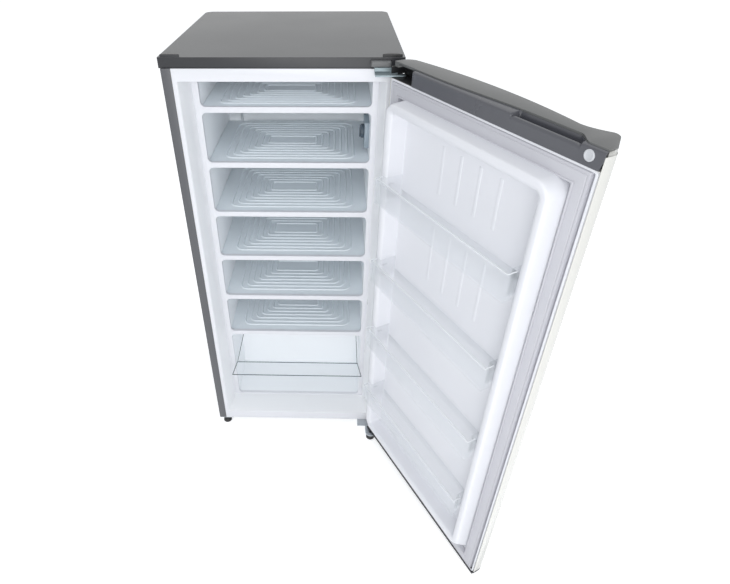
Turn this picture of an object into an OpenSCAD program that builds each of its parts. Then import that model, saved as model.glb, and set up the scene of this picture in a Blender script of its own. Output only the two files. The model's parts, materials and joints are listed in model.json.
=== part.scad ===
// Upright single-door freezer, drawn with its door standing open.
// Millimetres, +Z up. The origin is on the floor, midway between the sides
// and midway between the front and back of the cabinet. The door hinges on
// the right, seen from the front, and the front faces -Y.

/* [Cabinet] */
// Width over the painted sides
cab_w = 530; // [500:1:600]
// Depth from the front plane to the back panel
cab_d = 505; // [495:1:560]
// Height of the sides
cab_h = 1148; // [1146:1:1250]
// Thickness of the painted sheet
skin = 1; // [0.6:0.1:1.5]
// Width of the painted edge that shows beside the white frame
strip_w = 22; // [16:1:26]
// Gap from the floor to the underside
foot_h = 25; // [20:1:40]

/* [Top cover] */
// Height of the cover
cover_h = 23; // [18:1:32]
// How far the cover stands out past each side
cover_over = 4; // [2:0.5:8]
// How far the cover reaches past the back panel
cover_back = 47; // [40:1:60]
// Wall of the moulded cover
cover_t = 3; // [2:0.5:4]
// How far the cover's front lies behind the front plane
cover_set = 3.5; // [2.5:0.5:6]
// Height of the two hinge covers above the cover
bump_h = 6; // [4:0.5:9]
// Width of a hinge cover
bump_w = 44; // [36:1:54]

/* [Liner] */
// Wall of the moulded liner
liner_t = 2.5; // [1.5:0.5:4]
// Half the width of the mouth at the front, where the door's raised rim goes in
mouth_x = 232; // [230:1:236]
// Half the width of the mouth at its step
throat_x = 221; // [218:1:224]
// Depth from the front plane to the shelf fronts
mouth_d = 80; // [76:1:90]
// Height of the mouth's floor above the underside
mouth_z0 = 32; // [24:1:36]
// Distance from the mouth's ceiling up to the top of the sides
mouth_top = 28; // [22:1:32]
// Half the width inside the compartments
cav_x = 208; // [200:1:210]
// Depth of the compartments from the front plane
cav_d = 425; // [400:1:440]
// Drop from the mouth's ceiling to the compartments' ceiling
cav_drop = 10; // [4:1:14]
// Height of the bottom compartment's floor above the mouth's floor
floor_rise = 4; // [2:1:10]
// Depth of the bottom compartment from the front plane
low_d = 237; // [225:1:245]
// Height of the step over the machine space
step_z = 300; // [292:1:304]

/* [Shelves] */
// Height of the top compartment, from its shelf to its ceiling
shelf_drop = 72; // [64:1:90]
// Height of the lowest shelf above the step over the machine space
shelf_low = 21; // [18:1:40]
// Number of shelves
shelf_n = 6; // [6:1:6]
// Height of a shelf's front bar
bar_h = 14; // [10:1:18]
// Depth of the window frame that carries the bars
bar_d = 10; // [8:1:14]
// Corner radius of the windows
window_r = 12; // [6:1:16]
// Half the width of the windows
window_x = 207; // [190:1:208]
// Thickness of a shelf plate
plate_t = 3; // [2:0.5:5]
// Gap behind a shelf for the riser tube
shelf_back = 22; // [16:1:30]
// Width of a raised rib on a shelf
rib_w = 4; // [2:0.5:6]
// Height of a raised rib
rib_h = 1.5; // [1:0.25:2.5]
// Number of ribs across a shelf
rib_n = 10; // [6:1:12]
// Distance from one rib to the next
rib_pitch = 22; // [16:1:24]

/* [Cooling tubes] */
// Outside diameter of the evaporator tube
evap_d = 7; // [6:0.5:8]
// Tube runs under each shelf
evap_n = 4; // [2:2:6]
// Outside diameter of the condenser tube
cond_d = 5; // [4:0.5:6]
// Condenser runs across the back
cond_n = 12; // [6:2:14]
// Diameter of a condenser wire
wire_d = 1.6; // [1.2:0.2:2.4]
// Number of condenser wires on each face
wire_n = 20; // [10:1:30]
// Gap between the back panel and the condenser
cond_gap = 14; // [10:1:18]

/* [Drawer] */
// Height of the clear drawer
drawer_h = 148; // [110:1:160]
// Gap between the drawer and the wall each side
drawer_gap = 8; // [3:0.5:10]
// Wall of the clear drawer
drawer_t = 2.5; // [2:0.5:4]
// Reach of the hand lip in front of the drawer
lip_d = 38; // [30:1:40]
// Drop of the hand lip from the drawer's top to its front edge
lip_drop = 22; // [10:1:30]
// Half the width of the hand lip at its front
lip_x = 218; // [212:1:219]
// Travel of the drawer
drawer_travel = 120; // [80:5:130]

/* [Door] */
// How far the door stands out past each side of the cabinet
door_over = 5; // [2:0.5:8]
// Angle that the door stands open
door_open = 118.2; // [90:0.1:125]
// Gap under the door, above the underside of the cabinet
door_z0 = 3; // [2.5:0.5:6]
// Height of the insulated part of the door, from its underside
door_h = 1135; // [1130:1:1135]
// Deepest point of the door's curved front
door_d = 74; // [72:1:82]
// Where the deepest point lies, from the hinge side
crown_s = 235; // [190:1:270]
// How far the front falls back to the hinge side
fall_hinge = 20; // [14:1:24]
// How far the front falls back to the free side
fall_free = 38; // [24:1:40]
// Radius of the door's two upright edges
edge_r = 20; // [14:1:24]
// Gap between the closed gasket and the cabinet
seal_gap = 0.5; // [0.5:0.1:1]
// Thickness of the gasket
seal_t = 12; // [10:1:14]
// Width of the gasket
seal_w = 28; // [20:1:28]
// Gap from the door's upright edges to the gasket
seal_in = 9; // [9:0.5:12]
// Setback of the door's inner edges behind the gasket's face
edge_set = 4; // [4:0.5:6]
// Height of the dark cap along the door's underside
sole_h = 9; // [6:1:12]

/* [Door liner] */
// Margin from the door's side edge to the liner's rim
rim_margin = 49; // [48:1:54]
// Height that the rim stands past the gasket's face
rim_t = 34; // [28:1:36]
// Width of the rim
rim_w = 15; // [12:1:18]
// Height of the rim's lower edge above the underside
rim_z0 = 80; // [39:1:90]
// Height of the rim's upper edge above the underside
rim_z1 = 1107; // [1090:1:1112]
// Outer corner radius of the rim
rim_r = 22; // [16:1:28]
// Depth of the inner panel behind the gasket's face
panel_t = 8; // [6:1:10]
// Number of upright beads on the panel
bead_n = 4; // [3:1:5]

/* [Door bins] */
// Height of the top bin's rail above the underside
bin_top = 945; // [930:1:950]
// Distance from one bin to the next
bin_pitch = 218; // [205:1:222]
// Number of bins
bin_n = 4; // [4:1:4]
// Height of a bin
bin_h = 60; // [50:1:75]
// How far a bin reaches past the gasket's face
bin_reach = 60; // [52:1:66]
// Wall of a clear bin
bin_t = 2; // [1.5:0.5:3]
// Gap from a bin's end to the rim
bin_gap = 1; // [0.5:0.5:3]
// Lift that takes a bin off its lugs
bin_lift = 20; // [12:1:30]

/* [Top cap of the door] */
// Height of the cap
cap_h = 33; // [30:1:38]
// Wall of the cap
cap_t = 2.5; // [2:0.5:3.5]
// Distance from the grip's nose to the door's free side
nose_in = 37; // [34:1:60]
// How far the nose stands out of the curved front
nose_out = 26; // [14:1:28]
// Radius of the nose
nose_r = 14; // [8:1:16]
// Drop from the cap's top to the inner ledge
ledge_drop = 3.5; // [2:0.5:6]
// Width of the inner ledge
ledge_w = 22; // [18:1:28]
// Height of the cap's top plate, which lies on the skin's upper edge
plate_h = 11; // [8:1:14]
// Length of the finger pocket
grip_w = 152; // [120:1:170]
// Distance from the finger pocket to the door's free side
grip_in = 42; // [38:1:60]
// Depth of the finger pocket below the cap's top
grip_dz = 24; // [18:1:26]
// Height of the pocket's lip below the cap's top
grip_lip = 11; // [8:1:14]
// Diameter of the white screw plug
plug_d = 18; // [14:1:20]
// Distance from the screw plug to the door's free side
plug_in = 25; // [22:1:28]

/* [Hinges] */
// Distance from the hinge axis to the door's hinge side
axis_in = 9; // [9:0.5:12]
// Distance from the hinge axis to the front plane
axis_out = 26.5; // [26:0.5:30]
// Diameter of the hinge pins
pin_d = 7; // [6:0.5:8]
// Running clearance round a pin
pin_play = 0.05; // [0.02:0.01:0.1]
// Length of a pin inside the door
pin_l = 14; // [10:1:20]
// Thickness of the hinge plates
hinge_t = 3; // [2.5:0.5:4]
// Width of a hinge plate on the cabinet
hinge_w = 62; // [56:1:66]

/* [Feet] */
// Diameter of a foot
foot_d = 28; // [22:1:32]
// Diameter of a foot's screw
stem_d = 8; // [6:1:10]
// Distance of the left foot behind the front plane
foot_l_y = 12; // [12:1:30]
// Distance of the right foot ahead of the front plane
foot_r_y = 51; // [48:1:56]
// Distance from the sides to the feet
foot_in = 23; // [20:1:30]

/* [Machine space] */
// Height of the machine space
bay_h = 245; // [225:1:248]
// Insulation in front of the machine space
bay_wall = 57; // [45:1:60]
// Diameter of the compressor
comp_d = 150; // [130:1:160]
// Height of the compressor's case
comp_h = 158; // [140:1:165]
// Thickness of the compressor's tray
tray_t = 2; // [1.5:0.5:3]

/* [Temperature dial] */
// Diameter of the dial
dial_d = 36; // [26:1:44]
// Width of the dial's housing
stat_w = 76; // [50:1:84]
// Height of the dial's housing
stat_h = 68; // [50:1:74]
// Depth of the dial's housing
stat_t = 12; // [9:1:16]

/* [Hidden] */
$fn = 48;
eps = 0.01;
seat = 0.3;

// Cabinet, measured from the floor and the front plane
front_y = -(cab_d + cover_back) / 2;
back_y = front_y + cab_d;
base_z = foot_h;
top_z = base_z + cab_h;
half_w = cab_w / 2;
mouth_z1 = top_z - mouth_top;
cav_y0 = front_y + mouth_d;
cav_y1 = front_y + cav_d;
cav_z1 = mouth_z1 - cav_drop;
floor_z = base_z + mouth_z0 + floor_rise;
low_y1 = front_y + low_d;
step_top = base_z + step_z;
bay_top = base_z + bay_h;
bay_y0 = low_y1 + bay_wall;
frame_x = half_w - strip_w;
cover_top = top_z + cover_h;

// Door, drawn closed and then swung open about the hinge axis
door_w = cab_w + 2 * door_over;
nose_s = door_w - nose_in;
grip_s1 = door_w - grip_in;
grip_s0 = grip_s1 - grip_w;
plug_s = door_w - plug_in;
axis_x = door_w / 2 - axis_in;
axis_y = front_y - axis_out;
door_bot = base_z + door_z0;
door_top = door_bot + door_h;
cap_top = door_top + cap_h;
band_top = cap_top - plate_h;
liner_back = seal_gap + seal_t;
rim_s0 = rim_margin;
rim_s1 = door_w - rim_margin;
well_s0 = rim_s0 + rim_w;
well_s1 = rim_s1 - rim_w;
pocket_s = 76;
pocket_t = 40;
arm_z1 = door_top + 5;
arm_z0 = arm_z1 - hinge_t;
slot_z = arm_z1 + 3;

shelf_pitch = (cav_z1 - shelf_drop - step_top - shelf_low) / (shelf_n - 1);
function shelf_z(k) = cav_z1 - shelf_drop - (k - 1) * shelf_pitch;
function bin_z(k) = base_z + bin_top - (k - 1) * bin_pitch;

// Depth of the curved front at a distance s from the hinge side
function front_t(s) = s < crown_s
    ? door_d - fall_hinge * pow((s - crown_s) / crown_s, 2)
    : door_d - fall_free * pow((s - crown_s) / (door_w - crown_s), 2);

// The door's curved front and rounded upright edges, i inside the outside
function door_arc(s, i, a0, a1) = [for (k = [0:8]) let (a = a0 + (a1 - a0) * k / 8)
    [s + (edge_r - i) * cos(a), front_t(s) - edge_r + (edge_r - i) * sin(a)]];
function door_outline(i, t0) = concat(
    [[i, t0]],
    door_arc(edge_r, i, 180, 90),
    [for (k = [1:23]) let (s = edge_r + (door_w - 2 * edge_r) * k / 24) [s, front_t(s) - i]],
    door_arc(door_w - edge_r, i, 90, 0),
    [[door_w - i, t0]]);

// The cap follows the same front and then swells out into the grip's nose
nose_run = 58;
function swell(u) = u <= 0 ? 0 : u >= 1 ? 1 : pow(u, 1.6);
function cap_t_at(s) = front_t(s) + nose_out * swell((s - nose_s + nose_run) / nose_run);
function cap_outline(i, t0) = concat(
    [[i, t0]],
    door_arc(edge_r, i, 180, 90),
    [for (k = [1:23]) let (s = edge_r + (nose_s - edge_r) * k / 24) [s, cap_t_at(s) - i]],
    [for (k = [0:6]) let (a = 92 - 11 * k)
        [nose_s + (nose_r - i) * cos(a), cap_t_at(nose_s) - nose_r + (nose_r - i) * sin(a)]],
    [[door_w - i, edge_r + 8], [door_w - i, t0]]);

// The line where the cap's ledge meets its raised top
step_far = edge_set + ledge_w;
ledge_line = [[-eps, edge_set + 8], [150, edge_set + 8.5], [grip_s0 - 50, edge_set + 16],
    [grip_s0 - 4, step_far], [grip_s1 + 4, step_far], [grip_s1 + 14, edge_set + 4],
    [door_w + eps, edge_set + 3]];

module box(x0, x1, y0, y1, z0, z1) {
    translate([x0, y0, z0]) cube([x1 - x0, y1 - y0, z1 - z0]);
}

module rod(p, dir, d, l) {
    translate(p) rotate(dir == "x" ? [0, 90, 0] : dir == "y" ? [-90, 0, 0] : [0, 0, 0])
        cylinder(d = d, h = l);
}

module round_rect(x0, x1, y0, y1, r) {
    union() {
        translate([x0 + r, y0]) square([x1 - x0 - 2 * r, y1 - y0]);
        translate([x0, y0 + r]) square([x1 - x0, y1 - y0 - 2 * r]);
        for (x = [x0 + r, x1 - r], y = [y0 + r, y1 - r]) translate([x, y]) circle(r);
    }
}

// An upright sheet in the X-Z plane, from y0 back to y1
module upright(y0, y1) {
    translate([0, y1, 0]) rotate([90, 0, 0]) linear_extrude(y1 - y0) children();
}

// Puts a closed door's piece where the open door has it
module on_door() {
    translate([axis_x, axis_y, 0]) rotate([0, 0, door_open])
        translate([-axis_x, -axis_y, 0]) children();
}

// Door piece from an outline in s and t, between two heights
module door_slab(z0, z1) {
    translate([door_w / 2, front_y, z0]) rotate([0, 0, 180]) linear_extrude(z1 - z0) children();
}

// Door piece from an outline in s and z, from depth t0 out to t1
module door_face(t0, t1) {
    translate([door_w / 2, front_y - t0, 0]) rotate([90, 0, 0])
        linear_extrude(t1 - t0) mirror([1, 0]) children();
}

module door_box(s0, s1, t0, t1, z0, z1) {
    box(door_w / 2 - s1, door_w / 2 - s0, front_y - t1, front_y - t0, z0, z1);
}

// Cabinet

module outer_shell() {
    color("dimgray") union() {
        for (m = [0, 1]) mirror([m, 0, 0]) {
            box(half_w - skin, half_w, front_y, back_y, base_z, top_z);
            box(frame_x, half_w, front_y, front_y + skin, base_z, top_z);
        }
        box(-half_w, half_w, front_y + liner_t, back_y, top_z - skin, top_z);
        for (m = [0, 1]) mirror([m, 0, 0])
            box(frame_x, half_w, front_y, front_y + liner_t + 1, top_z - skin, top_z);
    }
}

module back_panel() {
    color("gray") box(-half_w + skin, half_w - skin, back_y - skin, back_y, bay_top, top_z - skin);
}

// One bent sheet: the underside, then up and over the machine space
module base_pan() {
    x = half_w - skin;
    color("darkgray") difference() {
        union() {
            box(-x, x, front_y + liner_t, bay_y0, base_z, base_z + skin);
            box(-x, x, bay_y0 - skin, bay_y0, base_z, bay_top + skin);
            box(-x, x, bay_y0 - skin, back_y - skin, bay_top, bay_top + skin);
        }
        rod([foot_lx, foot_ly, base_z - 1], "z", stem_d + 1, skin + 2);
        rod([evap_riser_x, riser_y, bay_top - 1], "z", evap_d + 1, skin + 2);
    }
}

module cabinet_foam() {
    color("khaki") difference() {
        box(-half_w + skin, half_w - skin, front_y + liner_t, back_y - skin,
            base_z + skin, top_z - skin);
        translate([0, 0, base_z + mouth_z0 - liner_t])
            linear_extrude(mouth_z1 - base_z - mouth_z0 + 2 * liner_t) mouth_plan(liner_t, bar_d, 1);
        box(-cav_x - liner_t, cav_x + liner_t, front_y, cav_y1 + liner_t,
            step_top - liner_t, cav_z1 + liner_t);
        box(-cav_x - liner_t, cav_x + liner_t, front_y, low_y1 + liner_t,
            floor_z - liner_t, cav_z1);
        box(-half_w, half_w, bay_y0 - skin, back_y, 0, bay_top + skin);
        rod([evap_riser_x, riser_y, bay_top - 1], "z", evap_d + 1, riser_low + evap_d + 2 - bay_top);
        rod([evap_riser_x, cav_y1 - 1, riser_low + evap_d / 2], "y", evap_d + 1, riser_y + 4 - cav_y1);
        rod([foot_lx, foot_ly, base_z - 1], "z", stem_d + 4, 12);
    }
}

// The mouth seen from above: it narrows toward its step, i outside its face
module mouth_plan(i, past, ahead) {
    polygon([[-mouth_x - i, front_y - ahead], [mouth_x + i, front_y - ahead], [mouth_x + i, front_y],
        [throat_x + i, cav_y0], [throat_x + i, cav_y0 + past], [-throat_x - i, cav_y0 + past],
        [-throat_x - i, cav_y0], [-mouth_x - i, front_y]]);
}

module front_frame() {
    z0 = base_z + mouth_z0;
    color("white") difference() {
        union() {
            box(-frame_x, frame_x, front_y, front_y + liner_t, base_z, top_z);
            translate([0, 0, z0 - liner_t])
                linear_extrude(mouth_z1 - z0 + 2 * liner_t) mouth_plan(liner_t, bar_d, 0);
        }
        translate([0, 0, z0]) linear_extrude(mouth_z1 - z0) mouth_plan(0, bar_d + 1, 1);
    }
}

// Frame at the step, with a rounded window for every compartment
module window_frame() {
    function sill_z(k) = k > shelf_n ? floor_z : shelf_z(k);
    function head_z(k) = k == 1 ? cav_z1 : shelf_z(k - 1) - bar_h;
    color("white") upright(cav_y0, cav_y0 + bar_d) difference() {
        translate([-throat_x, base_z + mouth_z0]) square([2 * throat_x, mouth_z1 - base_z - mouth_z0]);
        for (k = [1:shelf_n + 1]) round_rect(-window_x, window_x, sill_z(k), head_z(k), window_r);
    }
}

module inner_liner() {
    y0 = cav_y0 + bar_d;
    color("whitesmoke") difference() {
        union() {
            box(-cav_x - liner_t, cav_x + liner_t, y0, cav_y1 + liner_t,
                step_top - liner_t, cav_z1 + liner_t);
            box(-cav_x - liner_t, cav_x + liner_t, y0, low_y1 + liner_t,
                floor_z - liner_t, cav_z1);
        }
        box(-cav_x, cav_x, y0 - 1, cav_y1, step_top, cav_z1);
        box(-cav_x, cav_x, y0 - 1, low_y1, floor_z, step_top + 1);
        rod([evap_riser_x, cav_y1 - 1, riser_low + evap_d / 2], "y", evap_d + 1, liner_t + 2);
    }
}

// Raised ribs of a shelf: long runs in the middle, short ones at both ends
rib_gap = 66;

module shelf_ribs(z) {
    y0 = cav_y0 + bar_d + 32;
    for (k = [0:rib_n - 1]) {
        y = y0 + k * rib_pitch;
        half = cav_x - 48 - k * 2;
        gap = k % 2 == 0 ? 0 : rib_gap;
        for (m = [0, 1]) mirror([m, 0, 0]) {
            box(gap + 3, half - 34, y - rib_w / 2, y + rib_w / 2, z - eps, z + rib_h);
            box(half - 26, half, y - rib_w / 2, y + rib_w / 2, z - eps, z + rib_h);
        }
        if (k % 2 == 1) box(-gap + 5, gap - 5, y - rib_w / 2, y + rib_w / 2, z - eps, z + rib_h);
    }
}

module shelf(k) {
    z = shelf_z(k) - 3;
    y0 = cav_y0 + bar_d;
    color("white") union() {
        box(-cav_x, cav_x, y0, cav_y1 - shelf_back, z - plate_t, z);
        for (m = [0, 1]) mirror([m, 0, 0])
            box(cav_x - 3, cav_x, y0, cav_y1 - shelf_back, z - bar_h + 3, z);
        shelf_ribs(z);
    }
}

// One winding of tube lying flat: n runs along X joined by half turns
module winding(x_half, y0, y1, z, d, n) {
    step = (y1 - y0) / (n - 1);
    r = step / 2;
    for (k = [0:n - 1])
        rod([-x_half + r - 1, y0 + k * step, z], "x", d - 0.4, 2 * (x_half - r) + 2, $fn = 14);
    for (k = [0:n - 2])
        translate([k % 2 == 0 ? x_half - r : -x_half + r, y0 + (k + 0.5) * step, z])
            rotate([0, 0, k % 2 == 0 ? -90 : 90])
                rotate_extrude(angle = 180, $fn = 20) translate([r, 0]) circle(d = d, $fn = 14);
}

evap_y1 = cav_y1 - 12;
evap_riser_x = -cav_x + 40;
riser_low = step_top + 5;
riser_y = cav_y1 + 30;

// A winding of tube under each shelf
module evaporator_tube() {
    color("silver") for (k = [1:shelf_n])
        winding(cav_x - 12, cav_y0 + bar_d + 40, evap_y1, shelf_z(k) - 3 - plate_t - evap_d / 2,
            evap_d, evap_n);
}

// Upright tube behind the windings, which leaves through the back of the liner
module evaporator_riser() {
    y = evap_y1 + evap_d - seat;
    color("silver") union() {
        rod([evap_riser_x, y, riser_low], "z", evap_d, shelf_z(1) - 3 - plate_t - riser_low);
        rod([evap_riser_x, y - 2, riser_low + evap_d / 2], "y", evap_d - 2, riser_y - y + 2);
        rod([evap_riser_x, riser_y, bay_top - 4], "z", evap_d, riser_low + evap_d - bay_top + 4);
    }
}

cond_y = back_y + cond_gap;
cond_z0 = bay_top + 90;
cond_z1 = top_z - 60;
cond_half = half_w - 34;

// Winding of bare tube behind the back panel
module condenser_tube() {
    color("black") translate([0, cond_y, 0]) rotate([90, 0, 0])
        winding(cond_half, cond_z0, cond_z1, 0, cond_d, cond_n);
}

// Upright wires welded to both faces of the winding
module condenser_wires() {
    off = (cond_d + wire_d) / 2 - 0.1;
    color("black") for (k = [0:wire_n - 1], m = [-1, 1])
        rod([-cond_half + 24 + (2 * cond_half - 48) * k / (wire_n - 1), cond_y + m * off,
            cond_z0 - 10],
            "z", wire_d, cond_z1 - cond_z0 + 20, $fn = 14);
}

// Four stays that hold the winding off the back panel
module condenser_stays() {
    step = (cond_z1 - cond_z0) / (cond_n - 1);
    x = cond_half - 34;
    color("black") for (m = [-1, 1], k = [1, cond_n - 2])
        box(m * x - 6, m * x + 6, back_y, cond_y + cond_d / 2 + 2,
            cond_z0 + k * step - cond_d / 2 - 2, cond_z0 + k * step - cond_d / 2 + 0.2);
}

// Top of the cabinet

module cover_plan(i) {
    x = half_w + cover_over - i;
    y0 = front_y + cover_set + i;
    y1 = back_y + cover_back - i;
    r = 24 - i;
    union() {
        translate([-x, y0]) square([2 * x, y1 - y0 - r]);
        translate([-x + r, y1 - r - eps]) square([2 * (x - r), r + eps]);
        for (m = [-1, 1]) translate([m * (x - r), y1 - r]) circle(r);
    }
}

module top_cover() {
    color("gray") difference() {
        translate([0, 0, top_z]) linear_extrude(cover_h) cover_plan(0);
        translate([0, 0, top_z - 1]) linear_extrude(cover_h - cover_t + 1) cover_plan(cover_t);
        box(half_w - hinge_w - 6, half_w + eps, front_y, front_y + 20, top_z - 1, top_z + hinge_t + 0.5);
    }
}

// A low dome with a flat front, over the hinge or over its spare place
module bump() {
    x1 = half_w - 1;
    y0 = front_y + cover_set;
    slope = 16;
    upright(y0, y0 + 38) polygon([[x1 - bump_w, cover_top], [x1 - bump_w + slope, cover_top + bump_h],
        [x1 - 5, cover_top + bump_h], [x1, cover_top + bump_h - 4], [x1, cover_top]]);
}

module hinge_cover() {
    color("dimgray") bump();
}

module blank_hinge_cover() {
    color("dimgray") mirror([1, 0, 0]) bump();
}

// Hinges and feet

hinge_x0 = half_w - hinge_w;

module hinge_arm(z0, z1, reach_x, reach_y) {
    box(hinge_x0, axis_x, axis_y, front_y - hinge_t + 0.5, z0, z1);
    translate([axis_x, axis_y, z0]) cylinder(r = axis_in - 1, h = z1 - z0);
    box(hinge_x0, axis_x, axis_y - reach_y, axis_y + eps, z0, z1);
    box(axis_x - eps, axis_x + reach_x, axis_y, front_y - hinge_t + 0.5, z0, z1);
}

hinge_end = 11;
upper_screws = [[hinge_x0 + 12, front_y + 18], [half_w - hinge_end - 8, front_y + 18],
    [half_w - hinge_end - 20, front_y + 36]];

module upper_hinge() {
    color("silver") difference() {
        union() {
            hinge_arm(arm_z0, arm_z1, 0, axis_in - 1);
            box(hinge_x0, hinge_x0 + 37, front_y - hinge_t, front_y, arm_z0, top_z + hinge_t);
            box(hinge_x0, half_w - hinge_end, front_y - hinge_t, front_y + 46, top_z, top_z + hinge_t);
            rod([axis_x, axis_y, arm_z0 - pin_l], "z", pin_d, pin_l + 1);
        }
        for (p = upper_screws) rod([p[0], p[1], top_z - 1], "z", 5, hinge_t + 2);
    }
}

module upper_hinge_screws() {
    color("lightgray") for (p = upper_screws) {
        rod([p[0], p[1], top_z - skin - 8], "z", 3.2, hinge_t + skin + 9);
        rod([p[0], p[1], top_z + hinge_t], "z", 9, 3);
    }
}

foot_lx = -half_w + foot_in;
foot_ly = front_y + foot_l_y;
foot_rx = half_w - foot_in + 4;
foot_ry = front_y - foot_r_y;
lower_screws = [[hinge_x0 + 10, front_y + 16], [half_w - 12, front_y + 16], [hinge_x0 + 10, front_y + 44],
    [half_w - 12, front_y + 44]];

module lower_hinge() {
    z0 = base_z - hinge_t;
    color("silver") difference() {
        union() {
            box(hinge_x0, half_w - 1, front_y - axis_out, front_y + 56, z0, base_z);
            translate([axis_x, axis_y, z0]) cylinder(r = axis_in - 1, h = hinge_t);
            box(foot_rx - 17, foot_rx + 17, foot_ry, axis_y + eps, z0, base_z);
            translate([foot_rx, foot_ry, z0]) cylinder(r = 17, h = hinge_t);
            rod([axis_x, axis_y, base_z - 1], "z", pin_d, door_z0 + pin_l + 1);
            rod([axis_x, axis_y, base_z - 1], "z", pin_d + 7, door_z0 + 1);
        }
        rod([foot_rx, foot_ry, z0 - 1], "z", stem_d + 0.1, hinge_t + 2);
        for (p = lower_screws) rod([p[0], p[1], z0 - 1], "z", 5, hinge_t + 2);
    }
}

module lower_hinge_screws() {
    color("lightgray") for (p = lower_screws) {
        rod([p[0], p[1], base_z - hinge_t - 1], "z", 3.2, hinge_t + 1);
        rod([p[0], p[1], base_z - hinge_t - 4], "z", 9, 4);
    }
}

module left_foot_plate() {
    color("silver") difference() {
        box(-half_w + 1, foot_lx + 24, foot_ly - 11, foot_ly + 26, base_z - hinge_t, base_z);
        rod([foot_lx, foot_ly, base_z - hinge_t - 1], "z", stem_d + 0.1, hinge_t + 2);
    }
}

module foot(x, y, top) {
    translate([x, y, 0]) rotate_extrude() polygon([[0, 0], [foot_d / 2 - 1, 0], [foot_d / 2, 1.5],
        [foot_d / 2 - 1, 8], [foot_d / 2 - 4, 12], [stem_d / 2 + 3, 14], [stem_d / 2, 14.5],
        [stem_d / 2, top], [0, top]]);
}

module foot_left() {
    color("black") foot(foot_lx, foot_ly, base_z + 8);
}

module foot_right() {
    color("black") foot(foot_rx, foot_ry, base_z + 1);
}

module rear_feet() {
    color("black") for (m = [-1, 1]) translate([m * (half_w - 40), back_y - 34, 0]) union() {
        cylinder(d1 = foot_d - 2, d2 = foot_d, h = 4, $fn = 48);
        translate([0, 0, 4]) cylinder(d = foot_d, h = base_z - 4);
    }
}

// Machine space

tray_z = base_z + tray_t;
comp_x = -40;
comp_y = (bay_y0 + back_y) / 2;
comp_base = tray_z + 12;
bolt_x = 78;
bolt_y = 48;

module compressor_tray() {
    color("darkslategray") union() {
        box(-half_w + skin, half_w - skin, bay_y0, back_y - 2, base_z, tray_z);
        box(-half_w + skin, half_w - skin, back_y - 4, back_y - 2, base_z, tray_z + 12);
    }
}

module compressor() {
    r = comp_d / 2;
    seam = comp_h * 0.42;
    color("black") difference() {
        union() {
            translate([comp_x, comp_y, comp_base + 4]) rotate_extrude() polygon(concat(
                [[0, 0], [r - 14, 0]],
                [for (a = [-60:15:0]) [r - 14 + 14 * cos(a), 14 + 14 * sin(a) * 0.9]],
                [[r, seam], [r + 3, seam + 1], [r + 3, seam + 6], [r, seam + 7]],
                [for (a = [0:15:90]) [r - 48 + 48 * cos(a), comp_h - 48 + 48 * sin(a)]],
                [[0, comp_h]]));
            box(comp_x - bolt_x - 16, comp_x + bolt_x + 16, comp_y - bolt_y - 14, comp_y - bolt_y + 14,
                comp_base, comp_base + 3);
            box(comp_x - bolt_x - 16, comp_x + bolt_x + 16, comp_y + bolt_y - 14, comp_y + bolt_y + 14,
                comp_base, comp_base + 3);
            box(comp_x - 60, comp_x + 60, comp_y - bolt_y, comp_y + bolt_y, comp_base, comp_base + 5);
        }
        for (i = [-1, 1], j = [-1, 1])
            rod([comp_x + i * bolt_x, comp_y + j * bolt_y, comp_base - 1], "z", 12, 8);
    }
}

// Rubber mounts: wide below the compressor's feet, with a neck through them
module compressor_grommets() {
    color("black") for (i = [-1, 1], j = [-1, 1])
        translate([comp_x + i * bolt_x, comp_y + j * bolt_y, 0]) difference() {
            union() {
                translate([0, 0, tray_z]) cylinder(d = 24, h = comp_base - tray_z);
                translate([0, 0, comp_base - eps]) cylinder(d = 12, h = 3 + 2 * eps);
                translate([0, 0, comp_base + 3]) cylinder(d = 18, h = 5);
            }
            translate([0, 0, tray_z - 1]) cylinder(d = 7, h = 30);
        }
}

module compressor_bolts() {
    color("silver") for (i = [-1, 1], j = [-1, 1])
        translate([comp_x + i * bolt_x, comp_y + j * bolt_y, 0]) {
            translate([0, 0, tray_z]) cylinder(d = 6.9, h = comp_base + 8 - tray_z + 1);
            translate([0, 0, comp_base + 8]) cylinder(d = 16, h = 1.5);
            translate([0, 0, comp_base + 9.5]) cylinder(d = 11, h = 5, $fn = 6);
        }
}

module terminal_cover() {
    x0 = comp_x + comp_d / 2;
    z0 = comp_base + 28;
    color("whitesmoke") difference() {
        box(x0 - 14, x0 + 36, comp_y - 28, comp_y + 28, z0, z0 + 38);
        translate([comp_x, comp_y, z0 - 1]) cylinder(d = comp_d, h = 40);
    }
}

drier_x = comp_x + 190;
drier_y = back_y - 40;
drier_r = 10;
drier_l = 110;
drier_end = 12;

module filter_drier() {
    color("peru") translate([drier_x, drier_y, bay_top - drier_l]) rotate_extrude() polygon([[0, 0],
        [2.5, 0], [3, drier_end], [drier_r, 2 * drier_end], [drier_r, drier_l - 2 * drier_end],
        [3, drier_l - drier_end], [2.5, drier_l], [0, drier_l]]);
}

module suction_pipe() {
    z = comp_base + comp_h * 0.6;
    end_x = comp_x - comp_d / 2 + seat;
    color("peru") union() {
        rod([evap_riser_x, riser_y, z - 3], "z", 6, bay_top - 4 - z + 3);
        rod([evap_riser_x, comp_y - 3, z], "y", 5, riser_y - comp_y + 3);
        rod([evap_riser_x, comp_y, z], "x", 4, end_x - evap_riser_x);
    }
}

port_z = 19;

module discharge_pipe() {
    z = comp_base + port_z;
    x0 = comp_x + comp_d / 2 - seat;
    color("peru") union() {
        rod([x0, comp_y, z], "x", 4, drier_x - x0);
        rod([drier_x, comp_y - 3, z], "y", 5, drier_y - comp_y + 3);
        rod([drier_x, drier_y, z - 3], "z", 6, bay_top - drier_l - z + 3);
    }
}

// Shallow dish over the compressor, where melt water dries off
pan_x = 70;
pan_y = 66;
pan_h = 26;
pan_t = 3;

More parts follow.
